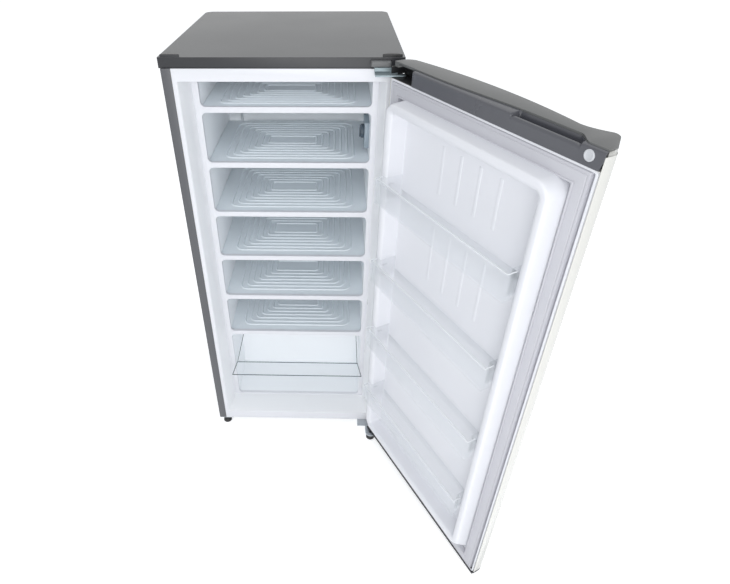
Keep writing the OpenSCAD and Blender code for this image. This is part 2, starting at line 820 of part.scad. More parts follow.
module drip_pan() {
    z0 = comp_base + comp_h + 4;
    color("whitesmoke") difference() {
        box(comp_x - pan_x, comp_x + pan_x, comp_y - pan_y, comp_y + pan_y, z0, z0 + pan_h);
        box(comp_x - pan_x + pan_t, comp_x + pan_x - pan_t, comp_y - pan_y + pan_t,
            comp_y + pan_y - pan_t, z0 + pan_t, z0 + pan_h + 1);
    }
}

module cord_gland() {
    color("black") union() {
        box(half_w - 96, half_w - 60, back_y - 2, back_y + 2, tray_z, tray_z + 44);
        box(half_w - 92, half_w - 64, back_y - 26, back_y - 2 + eps, tray_z + 14, tray_z + 40);
        rod([half_w - 78, back_y + 1, tray_z + 28], "y", 12, 12);
    }
}

// Temperature dial on the right wall of the second compartment

stat_y = cav_y0 + 110;
stat_z = shelf_z(2) + 45;
stat_x = cav_x - stat_t;

module thermostat_housing() {
    color("whitesmoke") difference() {
        box(stat_x, cav_x, stat_y - stat_w / 2, stat_y + stat_w / 2,
            stat_z - stat_h / 2, stat_z + stat_h / 2);
        rod([stat_x - 1, stat_y, stat_z], "x", 6 + 2 * pin_play, stat_t - 2);
    }
}

module thermostat_dial() {
    color("lightsteelblue") union() {
        rod([stat_x - seat - 8, stat_y, stat_z], "x", dial_d, 8);
        rod([stat_x - seat - 1, stat_y, stat_z], "x", 6, stat_t - 3);
        box(stat_x - seat - 12, stat_x - seat - 7, stat_y - 2, stat_y + 2,
            stat_z - dial_d / 2 + 2, stat_z + dial_d / 2 - 2);
    }
}

// Clear drawer of the bottom compartment

draw_x = cav_x - drawer_gap;
draw_y0 = cav_y0 + 1;
draw_y1 = low_y1 - 6;
draw_top = floor_z + drawer_h;
draw_r = window_r - 4;

// The drawer seen from the front, i inside its outside
module drawer_front(i, z1) {
    intersection() {
        round_rect(-draw_x + i, draw_x - i, floor_z + i, draw_top + 2 * draw_r, draw_r - i);
        translate([-draw_x, floor_z]) square([2 * draw_x, z1 - floor_z]);
    }
}

module drawer() {
    run = lip_d;
    color("aliceblue", 0.5) difference() {
        union() {
            upright(draw_y0, draw_y1) drawer_front(0, draw_top);
            translate([-lip_x, 0, 0]) rotate([90, 0, 90]) linear_extrude(2 * lip_x) polygon([
                [draw_y0 + eps, draw_top], [draw_y0 + eps, draw_top - drawer_t],
                [draw_y0 - run, draw_top - lip_drop - drawer_t], [draw_y0 - run, draw_top - lip_drop]]);
        }
        for (m = [0, 1]) mirror([m, 0, 0]) translate([0, 0, floor_z])
            linear_extrude(drawer_h + 1) polygon([[draw_x, draw_y0 + 1], [draw_x, draw_y0 - 10],
                [lip_x - 5, draw_y0 - 24], [lip_x + 1, draw_y0 - 27], [lip_x + 1, draw_y0 + 1]]);
        upright(draw_y0 + drawer_t, draw_y1 - drawer_t) drawer_front(drawer_t, draw_top + 1);
    }
}

// Door

module door_skin() {
    z0 = door_bot + sole_h;
    color("ivory") on_door() difference() {
        union() {
            door_slab(z0, door_top) polygon(door_outline(0, edge_set));
            difference() {
                door_slab(door_top - skin / 2, band_top) polygon(door_outline(0, edge_set));
                door_slab(door_top, band_top + 1) polygon(door_outline(skin, edge_set - 1));
                hinge_room();
            }
        }
        door_slab(z0 - 1, door_top - skin) polygon(door_outline(skin, edge_set - 1));
        door_box(2 * skin, door_w - 2 * skin, 0, liner_back + liner_t, z0 - 1, door_top - 2 * skin);
        bush_hole(door_top - pin_l - 6, pin_l + 12);
    }
}

bush_d = pin_d + 7;

module bush_hole(z, l) {
    rod([axis_x, axis_y, z], "z", bush_d, l);
}

module door_foam() {
    z0 = door_bot + sole_h;
    color("khaki") on_door() difference() {
        union() {
            difference() {
                door_slab(z0, door_top - skin) polygon(door_outline(skin, liner_back + liner_t));
                door_face(-1, panel_t + liner_t) well_outline(-liner_t);
            }
            door_face(-rim_t + liner_t, liner_back + liner_t + 1) difference() {
                rim_outline(liner_t);
                well_outline(-liner_t);
            }
            door_face(panel_t + liner_t, liner_back + liner_t + 1) well_outline(-liner_t);
        }
        bush_hole(door_top - pin_l - 6, pin_l + 12);
        bush_hole(door_bot - 1, pin_l + 6);
    }
}

// The rim's outside, i inside its face, and the well inside the rim
module rim_outline(i) {
    round_rect(rim_s0 + i, rim_s1 - i, base_z + rim_z0 + i, base_z + rim_z1 - i, rim_r - i);
}

module well_outline(i) {
    round_rect(well_s0 + i, well_s1 - i, base_z + rim_z0 + rim_w + i,
        base_z + rim_z1 - rim_w - i, rim_r - 8);
}

lug_s = 7;
lug_t = 12;
lug_z = 10;
lug_t0 = -rim_t + 6;

module door_liner() {
    bead_w = 10;
    color("white") on_door() difference() {
        union() {
            door_face(liner_back, liner_back + liner_t)
                difference() {
                    round_rect(2 * skin, door_w - 2 * skin, door_bot + sole_h, door_top - 2 * skin, 4);
                    rim_outline(liner_t);
                }
            door_face(-rim_t, liner_back + eps) difference() {
                rim_outline(0);
                rim_outline(liner_t);
            }
            door_face(-rim_t, -rim_t + liner_t) difference() {
                rim_outline(0);
                well_outline(0);
            }
            door_face(-rim_t, panel_t + liner_t) difference() {
                well_outline(-liner_t);
                well_outline(0);
            }
            door_face(panel_t, panel_t + liner_t) well_outline(-eps);
            for (k = [1:bin_n], m = [0, 1]) lug(k, m);
            for (b = [0:bead_n - 1], k = [0:1]) {
                s = door_w * 0.36 + b * 54;
                z1 = k == 0 ? base_z + rim_z1 - 52 : bin_z(1) - 70;
                z0 = k == 0 ? bin_z(1) + 6 : bin_z(2) + 6;
                door_box(s, s + bead_w, panel_t - 2, panel_t + eps, z0, z1);
            }
        }
        door_face(-rim_t + liner_t, liner_back + liner_t + 1) difference() {
            rim_outline(liner_t);
            well_outline(-liner_t);
        }
        bush_hole(door_bot - 1, pin_l + 6);
    }
}

// Lug that carries one end of a bin
module lug(k, m) {
    s = m == 0 ? well_s0 - eps : well_s1 - lug_s + eps;
    door_box(s, s + lug_s, lug_t0, lug_t0 + lug_t, bin_z(k) - 22 - lug_z, bin_z(k) - 22);
}

module door_gasket() {
    t0 = seal_gap;
    color("lightgray") on_door() door_face(t0, t0 + seal_t) difference() {
        round_rect(seal_in, door_w - seal_in, door_bot + sole_h, door_top - 2, 6);
        round_rect(seal_in + seal_w, door_w - seal_in - seal_w, door_bot + sole_h + seal_w,
            door_top - 2 - seal_w, 10);
    }
}

module door_sole() {
    color("black") on_door() difference() {
        door_slab(door_bot, door_bot + sole_h) polygon(door_outline(0, edge_set));
        bush_hole(door_bot - 1, sole_h + 2);
    }
}

hinge_room = axis_out + axis_in + 2;

// Room for the upper hinge's arm, which swings under and into the cap
module hinge_room() {
    door_box(-5, pocket_s, -5, hinge_room, door_top - 1, slot_z);
    door_box(2 * axis_in - 4, pocket_s, -5, pocket_t, door_top - 1, cap_top - 2 * cap_t);
}

module ledge_plan(t0) {
    polygon(concat([[-eps, t0]], ledge_line, [[door_w + eps, t0]]));
}

module door_cap() {
    color("gray") on_door() difference() {
        door_slab(band_top, cap_top) polygon(cap_outline(0, edge_set));
        door_slab(band_top - 1, cap_top - cap_t) polygon(door_outline(cap_t, edge_set - 1));
        door_slab(door_top - 1, cap_top + 1) difference() {
            ledge_plan(edge_set - 1);
            translate([door_w - cap_t, 0]) square([20, 60]);
            translate([-20, 0]) square([20 + cap_t, 60]);
        }
        hinge_room();
    }
}

module grip_insert() {
    z1 = cap_top - ledge_drop;
    pocket_z = cap_top - grip_dz;
    back = step_far;
    color("dimgray") on_door() difference() {
        union() {
            door_slab(door_top, band_top) {
                translate([skin, edge_set]) square([door_w - 2 * skin, cap_t]);
                translate([plug_s - 8, edge_set]) square([16, boss_t - edge_set]);
            }
            door_slab(band_top - eps, z1)
                translate([cap_t, edge_set]) square([door_w - 2 * cap_t, cap_t]);
            door_slab(z1 - cap_t, z1) intersection() {
                polygon(cap_outline(cap_t, edge_set));
                ledge_plan(edge_set);
            }
            door_box(grip_s0 - cap_t, grip_s1 + cap_t, edge_set, back, pocket_z - cap_t, z1);
            door_box(grip_s0 - cap_t, grip_s1 + cap_t, back - cap_t, back, pocket_z, cap_top - eps);
        }
        door_box(grip_s0, grip_s1, edge_set + cap_t, back - cap_t, pocket_z, cap_top + 1);
        door_box(grip_s0, grip_s1, edge_set - 1, back - cap_t, cap_top - grip_lip, cap_top + 1);
        rod([plug_x, front_y - screw_t, plug_z], "y", plug_d - 6, screw_t);
        rod([plug_x, front_y - boss_t - 1, plug_z], "y", 4, boss_t);
        hinge_room();
    }
}

plug_x = door_w / 2 - plug_s;
boss_t = 21;
screw_t = 12;
plug_z = door_top + 17;

module cap_plug() {
    y = front_y - edge_set;
    color("white") on_door() union() {
        rod([plug_x, y, plug_z], "y", plug_d, 2);
        rod([plug_x, y - cap_t - 1, plug_z], "y", plug_d - 6.2, cap_t + 1 + eps);
    }
}

module cap_screw() {
    color("silver") on_door() union() {
        rod([plug_x, front_y - boss_t, plug_z], "y", 4, boss_t - screw_t + 1);
        rod([plug_x, front_y - screw_t, plug_z], "y", 9, 3);
    }
}

module upper_bush() {
    z0 = door_top - pin_l - 6;
    color("gainsboro") on_door() difference() {
        rod([axis_x, axis_y, z0], "z", bush_d, door_top - z0 + 1);
        rod([axis_x, axis_y, z0 + 3], "z", pin_d + 2 * pin_play, door_top - z0 + 2);
    }
}

module lower_bush() {
    color("gainsboro") on_door() difference() {
        rod([axis_x, axis_y, door_bot + seat], "z", bush_d, pin_l + 5 - seat);
        rod([axis_x, axis_y, door_bot - 1], "z", pin_d + 2 * pin_play, pin_l + 2);
    }
}

// Clear bin that hangs by a tab at each end on the liner's lugs
module bin(k) {
    z1 = bin_z(k);
    z0 = z1 - bin_h;
    s0 = well_s0 + lug_s + bin_gap;
    s1 = well_s1 - lug_s - bin_gap;
    t1 = panel_t - 4;
    tm = -rim_t - 4;
    tab_z = z1 - 22;
    color("aliceblue", 0.5) on_door() difference() {
        union() {
            door_box(s0, s1, -bin_reach, t1, z0, z1);
            door_box(well_s0 - 2, well_s1 + 2, -bin_reach, tm, z0, z1);
            for (s = [well_s0 + seat, s1 - eps])
                door_box(s, s + lug_s + bin_gap - seat + eps, lug_t0, lug_t0 + lug_t,
                    tab_z, tab_z + bin_t + 1);
        }
        door_box(s0 + bin_t, s1 - bin_t, -bin_reach + bin_t, t1 - bin_t, z0 + bin_t, z1 + 1);
        door_box(well_s0 - 2 + bin_t, well_s1 + 2 - bin_t, -bin_reach + bin_t, tm - bin_t,
            z0 + bin_t, z1 + 1);
        door_box(s0 + bin_t, s1 - bin_t, t1 - bin_t - 1, t1 + 1, z0 + 24, z1 + 1);
    }
}

outer_shell();
back_panel();
base_pan();
cabinet_foam();
front_frame();
inner_liner();
shelf(1);  // shelf_1
shelf(2);  // shelf_2
shelf(3);  // shelf_3
shelf(4);  // shelf_4
shelf(5);  // shelf_5
shelf(6);  // shelf_6
evaporator_tube();
evaporator_riser();
window_frame();
condenser_tube();
condenser_wires();
condenser_stays();
top_cover();
blank_hinge_cover();
hinge_cover();
upper_hinge();
upper_hinge_screws();
lower_hinge();
lower_hinge_screws();
left_foot_plate();
foot_left();
foot_right();
rear_feet();
compressor_tray();
compressor();
compressor_grommets();
compressor_bolts();
terminal_cover();
filter_drier();
suction_pipe();
discharge_pipe();
drip_pan();
cord_gland();
thermostat_housing();
thermostat_dial();
drawer();
door_skin();
door_foam();
door_liner();
door_gasket();
door_sole();
door_cap();
grip_insert();
cap_plug();
cap_screw();
upper_bush();
lower_bush();
bin(1);  // bin_1
bin(2);  // bin_2
bin(3);  // bin_3
bin(4);  // bin_4
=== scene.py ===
# %% [markdown]
# # An upright freezer, dressed for its photograph
# The solids come from the imported part and stay where they are. This lesson
# gives each of them a finished surface. Thin sheet and simple mouldings are
# copies of the solids with their edges rounded. The pieces that the eye goes
# to, such as the shelves, the door's liner, its gasket and its top cap, are
# modelled again with the curves that a press or a mould gives them.

# %% Load the part and its record
import math
import json

import bpy
from mathutils import Matrix, Vector


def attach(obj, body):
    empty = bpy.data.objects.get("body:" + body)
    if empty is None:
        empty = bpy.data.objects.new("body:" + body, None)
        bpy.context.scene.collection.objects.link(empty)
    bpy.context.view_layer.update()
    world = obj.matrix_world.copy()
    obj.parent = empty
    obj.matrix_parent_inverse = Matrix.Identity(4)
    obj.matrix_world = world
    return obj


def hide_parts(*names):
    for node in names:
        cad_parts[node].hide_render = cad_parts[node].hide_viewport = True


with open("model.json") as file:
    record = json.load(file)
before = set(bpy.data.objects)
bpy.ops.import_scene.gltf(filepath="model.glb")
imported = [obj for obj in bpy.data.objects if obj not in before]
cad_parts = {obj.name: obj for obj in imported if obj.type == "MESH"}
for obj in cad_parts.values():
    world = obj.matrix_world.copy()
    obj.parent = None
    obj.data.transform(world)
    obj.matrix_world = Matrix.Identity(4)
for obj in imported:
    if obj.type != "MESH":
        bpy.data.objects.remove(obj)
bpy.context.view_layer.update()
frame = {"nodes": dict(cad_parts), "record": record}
for other in [o for o in bpy.data.objects if o.type in ("LIGHT", "CAMERA")]:
    bpy.data.objects.remove(other)

# %% [markdown]
# ## The camera
# The photograph was taken from about 1.5 m up and close to the freezer, so
# the uprights run together downward. A shifted lens of about 27 mm stands
# for the crop of the picture. The numbers come from fitting one camera to
# the cabinet's and the door's edges.

# %% Place the camera
camera_data = bpy.data.cameras.new("camera")
camera_data.sensor_width = 36.0
camera_data.lens = 26.546
camera_data.shift_x = 0.06086
camera_data.shift_y = -0.02092
camera_data.clip_start = 0.05
camera = bpy.data.objects.new("camera", camera_data)
camera.location = (0.12089, -1.48704, 1.48461)
camera.rotation_euler = (0.95042, 0.00646, 0.02675)
bpy.context.scene.collection.objects.link(camera)
bpy.context.scene.camera = camera
print("lens", camera_data.lens, "mm")

# %% [markdown]
# ## Small tools
# Colours are read off as sRGB hex values, and a shader wants linear light,
# so one function converts them. A second adds a shader node with its
# settings and its links, and a third starts a material. A fourth gives a
# finish the fine unevenness that every made surface has: a bump of a real
# grain size, and a roughness that wanders a little, because a perfectly
# even surface looks drawn.

# %% Helpers for colour, nodes and selection
MM = 0.001             # one millimetre in the scene's metres


def linear(hex_colour):
    """An sRGB hex colour as linear RGBA."""
    out = []
    for i in (1, 3, 5):
        c = int(hex_colour[i:i + 2], 16) / 255
        out.append(c / 12.92 if c <= 0.04045 else ((c + 0.055) / 1.055) ** 2.4)
    return (*out, 1.0)


def add_node(tree, kind, links=None, **settings):
    """Adds one shader node with its settings, its socket values and its links."""
    n = tree.nodes.new(kind)
    for key, value in settings.items():
        if hasattr(n, key):
            setattr(n, key, value)
        else:
            n.inputs[key.replace("_", " ")].default_value = value
    for key, source in (links or {}).items():
        tree.links.new(source, n.inputs[key])
    return n


def surface(name, colour, **settings):
    """A new material: its colour and its Principled shader's values."""
    m = bpy.data.materials.new(name)
    m.use_nodes = True
    shader = m.node_tree.nodes["Principled BSDF"]
    shader.inputs["Base Color"].default_value = linear(colour)
    for key, value in settings.items():
        shader.inputs[key.replace("_", " ")].default_value = value
    return m, m.node_tree, shader


def uneven(tree, shader, grain_mm, depth_mm, rough, spread=0.06, detail=2.0):
    """Grain of a real size as bump, and a roughness that wanders with broad patches."""
    place = add_node(tree, "ShaderNodeTexCoord")
    grain = add_node(tree, "ShaderNodeTexNoise", links={"Vector": place.outputs["Object"]},
                     Scale=1000.0 / grain_mm, Detail=detail)
    bump = add_node(tree, "ShaderNodeBump", links={"Height": grain.outputs[0]}, Strength=0.5,
                    Distance=depth_mm * MM)
    patches = add_node(tree, "ShaderNodeTexNoise", links={"Vector": place.outputs["Object"]},
                       Scale=14.0, Detail=3.0)
    wander = add_node(tree, "ShaderNodeMapRange", links={"Value": patches.outputs[0]},
                      To_Min=rough - spread, To_Max=rough + spread)
    tree.links.new(bump.outputs[0], shader.inputs["Normal"])
    tree.links.new(wander.outputs[0], shader.inputs["Roughness"])


def seen_rays(tree):
    """1 for what the eye, a reflection or a clear wall shows, 0 for light that fills."""
    rays = add_node(tree, "ShaderNodeLightPath")
    seen = rays.outputs["Is Camera Ray"]
    for kind in ("Is Glossy Ray", "Is Transmission Ray"):
        seen = add_node(tree, "ShaderNodeMath", operation="MAXIMUM",
                        links={0: seen, 1: rays.outputs[kind]}).outputs[0]
    return seen


def nothing_selected():
    """Object mode, with no object selected."""
    if bpy.context.object and bpy.context.object.mode != "OBJECT":
        bpy.ops.object.mode_set(mode="OBJECT")
    bpy.ops.object.select_all(action="DESELECT")


def pick(piece):
    """Selects one object and makes it the active one."""
    nothing_selected()
    piece.select_set(True)
    bpy.context.view_layer.objects.active = piece


def edit_all(piece):
    """Opens one mesh in edit mode with all of it selected."""
    pick(piece)
    bpy.ops.object.mode_set(mode="EDIT")
    bpy.ops.mesh.select_all(action="SELECT")


# %% [markdown]
# ## Studio floor, backdrop and light
# The photograph is a catalogue picture on white. A floor that reaches past
# the picture keeps the soft shadow at the feet. The world is white to the
# camera, to reflections and through clear plastic, and dimmer as a light.
# A few large soft lamps give a plain level that keeps the white plastics
# below clipping.

# %% Floor
FLOOR_SIZE = 60.0      # metres
FLOOR_GLOW = 0.5
nothing_selected()
bpy.ops.mesh.primitive_plane_add(size=FLOOR_SIZE, location=(0, 0, 0))
floor = bpy.context.object
floor.name = "studio_floor"
floor_paper, tree, shader = surface("white studio paper", "#F7F7F7", Roughness=0.9,
                                    Specular_IOR_Level=0.0)
glow = add_node(tree, "ShaderNodeEmission", Color=(1, 1, 1, 1), Strength=FLOOR_GLOW)
none = add_node(tree, "ShaderNodeEmission", Color=(0, 0, 0, 1), Strength=0.0)
seen = add_node(tree, "ShaderNodeMixShader",
                links={0: seen_rays(tree), 1: none.outputs[0], 2: glow.outputs[0]})
both = add_node(tree, "ShaderNodeAddShader",
                links={0: shader.outputs[0], 1: seen.outputs[0]})
tree.links.new(both.outputs[0], tree.nodes["Material Output"].inputs["Surface"])
floor.data.materials.append(floor_paper)
print("floor", FLOOR_SIZE, "m across")

# %% World: white to the eye, softer as a light
WORLD_LIGHT = 0.62
world = bpy.data.worlds.new("studio")
bpy.context.scene.world = world
world.use_nodes = True
tree = world.node_tree
tree.nodes.clear()
white = add_node(tree, "ShaderNodeBackground", Color=(1, 1, 1, 1), Strength=1.0)
soft = add_node(tree, "ShaderNodeBackground", Color=(0.93, 0.965, 1.0, 1),
                Strength=WORLD_LIGHT)
mix = add_node(tree, "ShaderNodeMixShader",
               links={0: seen_rays(tree), 1: soft.outputs[0], 2: white.outputs[0]})
add_node(tree, "ShaderNodeOutputWorld", links={"Surface": mix.outputs[0]})
print("world lights at", WORLD_LIGHT)


# %% Lamps
def soft_box(name, size, watts, place, aim):
    """A square area lamp at place, facing aim."""
    data = bpy.data.lights.new(name, "AREA")
    data.shape = "SQUARE"
    data.size = size
    data.energy = watts
    lamp = bpy.data.objects.new(name, data)
    lamp.location = place
    lamp.rotation_euler = (Vector(aim) - Vector(place)).to_track_quat("-Z", "Y").to_euler()
    bpy.context.scene.collection.objects.link(lamp)


soft_box("key", 2.4, 11.5, (-1.6, -3.0, 3.2), (0.1, 0, 0.7))
soft_box("fill", 2.4, 12, (2.0, -2.9, 1.8), (0.1, 0, 0.7))
soft_box("front", 0.8, 9.5, (0.0, -2.2, 1.5), (0.0, 0, 0.7))
soft_box("low", 1.0, 8.3, (0.25, -2.6, 0.45), (-0.05, 0, 0.25))
soft_box("top", 2.6, 16, (0.0, 0.2, 3.6), (0, 0, 0.8))
print("lamps:", len(bpy.data.lights))

# %% [markdown]
# ## What the freezer is made of
# Each finish is named for its material and for how the surface was made,
# which is what tells its colour, its gloss and its grain. Base colours are
# those of the part under plain light, except a few copies that carry painted light or painted
# shade, each marked where it is made.

# %% Pre-painted charcoal steel: a thin baked coat with orange peel about 2.5 mm across
charcoal_steel, tree, shader = surface("pre-painted charcoal steel", "#57585C",
                                       Coat_Weight=0.15, Coat_Roughness=0.2)
uneven(tree, shader, 2.5, 0.06, 0.42)

# %% Ivory pre-painted steel of the door: the same process, glossier
ivory_steel, tree, shader = surface("pre-painted ivory steel", "#DCDBD6", Coat_Weight=0.35,
                                    Coat_Roughness=0.12)
uneven(tree, shader, 3.0, 0.04, 0.24, 0.04)

# %% White polystyrene, vacuum formed: smooth, with the slow waviness of a drawn sheet
white_liner, tree, shader = surface("vacuum-formed white polystyrene", "#E4E5EA", IOR=1.59)
uneven(tree, shader, 40.0, 0.25, 0.36, 0.05, 3.0)

# %% The same plastic, a little glossier where it lines the mouth, and painted brighter there: painted light
mouth_liner_painted_light, tree, shader = surface("glossy white liner plastic with painted light", "#F8F9FB")
uneven(tree, shader, 6.0, 0.03, 0.3)

# %% The compartments' liner, formed from the same sheet and duller inside; its brighter, bluer colour is painted light that lifts the shade in the compartments
inner_liner_painted_light, tree, shader = surface("vacuum-formed white polystyrene with painted light inside", "#F7FAFD", IOR=1.59)
uneven(tree, shader, 40.0, 0.25, 0.42, 0.05, 3.0)

# %% Shelf plates: white enamelled aluminium, with an even orange peel of 3 mm
shelf_enamel, tree, shader = surface("white enamelled aluminium", "#EFF6FB", IOR=1.5)
uneven(tree, shader, 3.0, 0.05, 0.36, 0.05)

# %% The top cover's grey ABS: a leather grain etched in the mould, drawn 1.5 mm wide to show; its lighter grey is painted light from above on the same plastic as the darker sides
cover_abs_painted_light, tree, shader = surface("grained ABS with painted light on top", "#616263", IOR=1.53)
place = add_node(tree, "ShaderNodeTexCoord")
leather = add_node(tree, "ShaderNodeTexVoronoi", links={"Vector": place.outputs["Object"]},
                   Scale=1000.0 / 1.5)
bump = add_node(tree, "ShaderNodeBump", links={"Height": leather.outputs["Distance"]},
                Strength=0.25, Distance=0.4 * MM)
tree.links.new(bump.outputs[0], shader.inputs["Normal"])
clouds = add_node(tree, "ShaderNodeTexNoise", links={"Vector": place.outputs["Object"]},
                  Scale=5.0, Detail=2.0)
sheen = add_node(tree, "ShaderNodeMapRange", links={"Value": clouds.outputs[0]},
                 To_Min=0.34, To_Max=0.44)
tree.links.new(sheen.outputs[0], shader.inputs["Roughness"])

# %% Charcoal ABS, moulded with a satin face
charcoal_abs, tree, shader = surface("satin charcoal ABS", "#28292D", IOR=1.53)
uneven(tree, shader, 1.2, 0.03, 0.36)

# %% Silver-painted ABS of the cap's top plate, with fine metal flake
silver_abs, tree, shader = surface("silver-painted ABS", "#636464", IOR=1.53, Metallic=0.2)
uneven(tree, shader, 0.8, 0.02, 0.38, 0.05)

# %% Dark grip: ABS moulded in a polished tool
grip_abs, tree, shader = surface("polished charcoal ABS", "#505157", IOR=1.53)
uneven(tree, shader, 6.0, 0.03, 0.26, 0.04)

# %% Soft PVC of the gasket, with the faint drag marks of its die
gasket_pvc, tree, shader = surface("extruded soft grey PVC", "#C3C3C9")
uneven(tree, shader, 1.5, 0.05, 0.5, 0.05)


# %% [markdown]
# Clear polystyrene hardly shows face on and turns milky where the sight
# grazes it or where a cut edge gathers light. A facing weight drives how
# much of the wall is seen, and the edges get a fuller finish of their own.

# %% Clear polystyrene of the bins and of the drawer
def see_through(name, colour, face_on, grazing, rough):
    """Moulded clear sheet: little of it shows face on, more at grazing angles."""
    m, tree, shader = surface(name, colour, IOR=1.59)
    uneven(tree, shader, 5.0, 0.03, rough, 0.04)
    facing = add_node(tree, "ShaderNodeLayerWeight", Blend=0.35)
    shown = add_node(tree, "ShaderNodeMapRange", links={"Value": facing.outputs["Facing"]},
                     To_Min=face_on, To_Max=grazing)
    tree.links.new(shown.outputs[0], shader.inputs["Alpha"])
    return m


clear_ps = see_through("clear polystyrene", "#E3E9EF", 0.05, 0.2, 0.14)
edge_ps = see_through("cut edge of clear polystyrene", "#F6F9FC", 0.6, 0.9, 0.2)
green_ps = see_through("green-tinted clear polystyrene", "#CFDCDE", 0.12, 0.4, 0.12)
green_edge = see_through("cut edge of green-tinted polystyrene", "#2E5052", 0.85, 0.95, 0.2)
print("clear plastics:", [m.name for m in (clear_ps, edge_ps, green_ps, green_edge)])

# %% Zinc-plated and galvanised steel: crystals of zinc, 12 mm wide on the sheet
zinc, tree, shader = surface("zinc-plated steel", "#BFC4C8", Metallic=1.0)
uneven(tree, shader, 1.0, 0.02, 0.36, 0.08)
galvanised, tree, shader = surface("galvanised steel sheet", "#A9ADB0", Metallic=0.9)
place = add_node(tree, "ShaderNodeTexCoord")
spangle = add_node(tree, "ShaderNodeTexVoronoi", links={"Vector": place.outputs["Object"]},
                   Scale=1000.0 / 12)
dull = add_node(tree, "ShaderNodeMapRange", links={"Value": spangle.outputs["Color"]},
                To_Min=0.38, To_Max=0.55)
tree.links.new(dull.outputs[0], shader.inputs["Roughness"])

# %% Pale blue-grey ABS of the thermostat's housing
housing_abs, tree, shader = surface("moulded pale blue-grey ABS", "#9DAAB4", IOR=1.53)
uneven(tree, shader, 1.2, 0.03, 0.4)

# %% Tubes and small parts
dark_steel, tree, shader = surface("phosphated steel plate", "#8F9CA1", Metallic=0.5)
uneven(tree, shader, 1.5, 0.02, 0.42, 0.06)
dial_abs, tree, shader = surface("moulded grey-blue ABS", "#56626D", IOR=1.53)
uneven(tree, shader, 2.0, 0.03, 0.4)
copper, tree, shader = surface("drawn copper tube", "#C88462", Metallic=1.0)
uneven(tree, shader, 4.0, 0.03, 0.33, 0.1)
bare_aluminium, tree, shader = surface("drawn aluminium tube", "#D5D8DA", Metallic=1.0)
uneven(tree, shader, 4.0, 0.02, 0.38, 0.06)
black_enamel, tree, shader = surface("black baked enamel", "#18191B")
uneven(tree, shader, 2.5, 0.06, 0.3, 0.05)
black_nylon, tree, shader = surface("black moulded nylon", "#1B1C1E")
uneven(tree, shader, 1.0, 0.04, 0.48)
black_rubber, tree, shader = surface("black natural rubber", "#191919")
uneven(tree, shader, 1.5, 0.05, 0.7)
white_pp, tree, shader = surface("white moulded polypropylene", "#C6C8CC")
uneven(tree, shader, 2.0, 0.03, 0.38)
natural_nylon, tree, shader = surface("natural nylon", "#DFDDD2")
uneven(tree, shader, 2.0, 0.03, 0.45)
foam, tree, shader = surface("blown polyurethane foam", "#D9C68F")
uneven(tree, shader, 1.5, 0.4, 0.9, 0.05)
print("finishes:", len([m for m in bpy.data.materials if m.use_nodes]))

# %% [markdown]
# ## Pieces that follow the solids
# A solid from the CAD model has edges as sharp as a drawing. On the real
# freezer a moulded part has radii of 1 to 4 mm and folded sheet about 1 mm,
# and those radii catch the light. So a plain piece is a copy of its solid
# with its triangles merged to clean faces and its sharp edges rounded. The
# CAD node itself is never touched: the copy stands for it.

# %% Tools that finish a piece and round the edges of a copy
SHARP_EDGE = 35        # degrees; a flatter edge is shaded smooth
SAME_POINT = 0.02      # mm; nearer corners of a copy are merged
SAME_FACE = 0.6        # degrees; flatter neighbours become one face
body_of = {n: b for b, ns in frame["record"]["behaviour"]["bodies"].items() for n in ns}


def settle(piece, node, material=None):
    """Puts a finished piece on its body, hides the solid it stands for, and gives it a finish
    if one is given.
    """
    if material is not None:
        piece.data.materials.clear()
        piece.data.materials.append(material)
    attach(piece, body_of[node])
    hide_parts(node)
    return piece


def rounded(piece, radius_mm, segments=3, angle=SHARP_EDGE):
    """Rounds the edges sharper than angle, then shades what is left smooth."""
    pick(piece)
    if radius_mm > 0:
        round_off = piece.modifiers.new("edge radius", "BEVEL")
        round_off.width = radius_mm * MM
        round_off.segments = segments
        round_off.limit_method = "ANGLE"
        round_off.angle_limit = math.radians(angle)
        round_off.use_clamp_overlap = True
        bpy.ops.object.modifier_apply(modifier=round_off.name)
    bpy.ops.object.shade_smooth_by_angle(angle=math.radians(SHARP_EDGE))
    return piece


def softened(node, material, radius_mm, segments=3):
    """A copy of a CAD node with its sharp edges rounded."""
    piece = frame["nodes"][node].copy()
    piece.data = piece.data.copy()
    piece.name = node + "_dressed"
    piece.parent = None
    piece.matrix_world = Matrix.Identity(4)
    bpy.context.scene.collection.objects.link(piece)
    edit_all(piece)
    bpy.ops.mesh.remove_doubles(threshold=SAME_POINT * MM)
    bpy.ops.mesh.dissolve_limited(angle_limit=math.radians(SAME_FACE))
    bpy.ops.object.mode_set(mode="OBJECT")
    rounded(piece, radius_mm, segments)
    return settle(piece, node, material)


# %% Cabinet, frame, hinges and machine compartment
PLAN = [               # node, finish and edge radius in mm
    ("outer_shell", charcoal_steel, 0.5), ("back_panel", galvanised, 0.2),
    ("base_pan", galvanised, 0.2), ("front_frame", white_liner, 1.2),
    # inner_liner takes the brighter copy of the liner's colour: painted light.
    ("window_frame", white_liner, 2.5), ("inner_liner", inner_liner_painted_light, 0.8),
    ("upper_hinge", dark_steel, 0.6), ("lower_hinge", zinc, 0.6),
    ("left_foot_plate", zinc, 0.6), ("thermostat_housing", housing_abs, 3.0),
    ("compressor_tray", galvanised, 0.5), ("drip_pan", white_pp, 2.0),
    ("terminal_cover", white_pp, 2.0), ("condenser_stays", black_nylon, 0.5),
    ("cord_gland", black_nylon, 1.0), ("compressor", black_enamel, 1.0),
]
for node, finish, radius in PLAN:
    softened(node, finish, radius)
print("softened", len(PLAN), "cabinet solids")

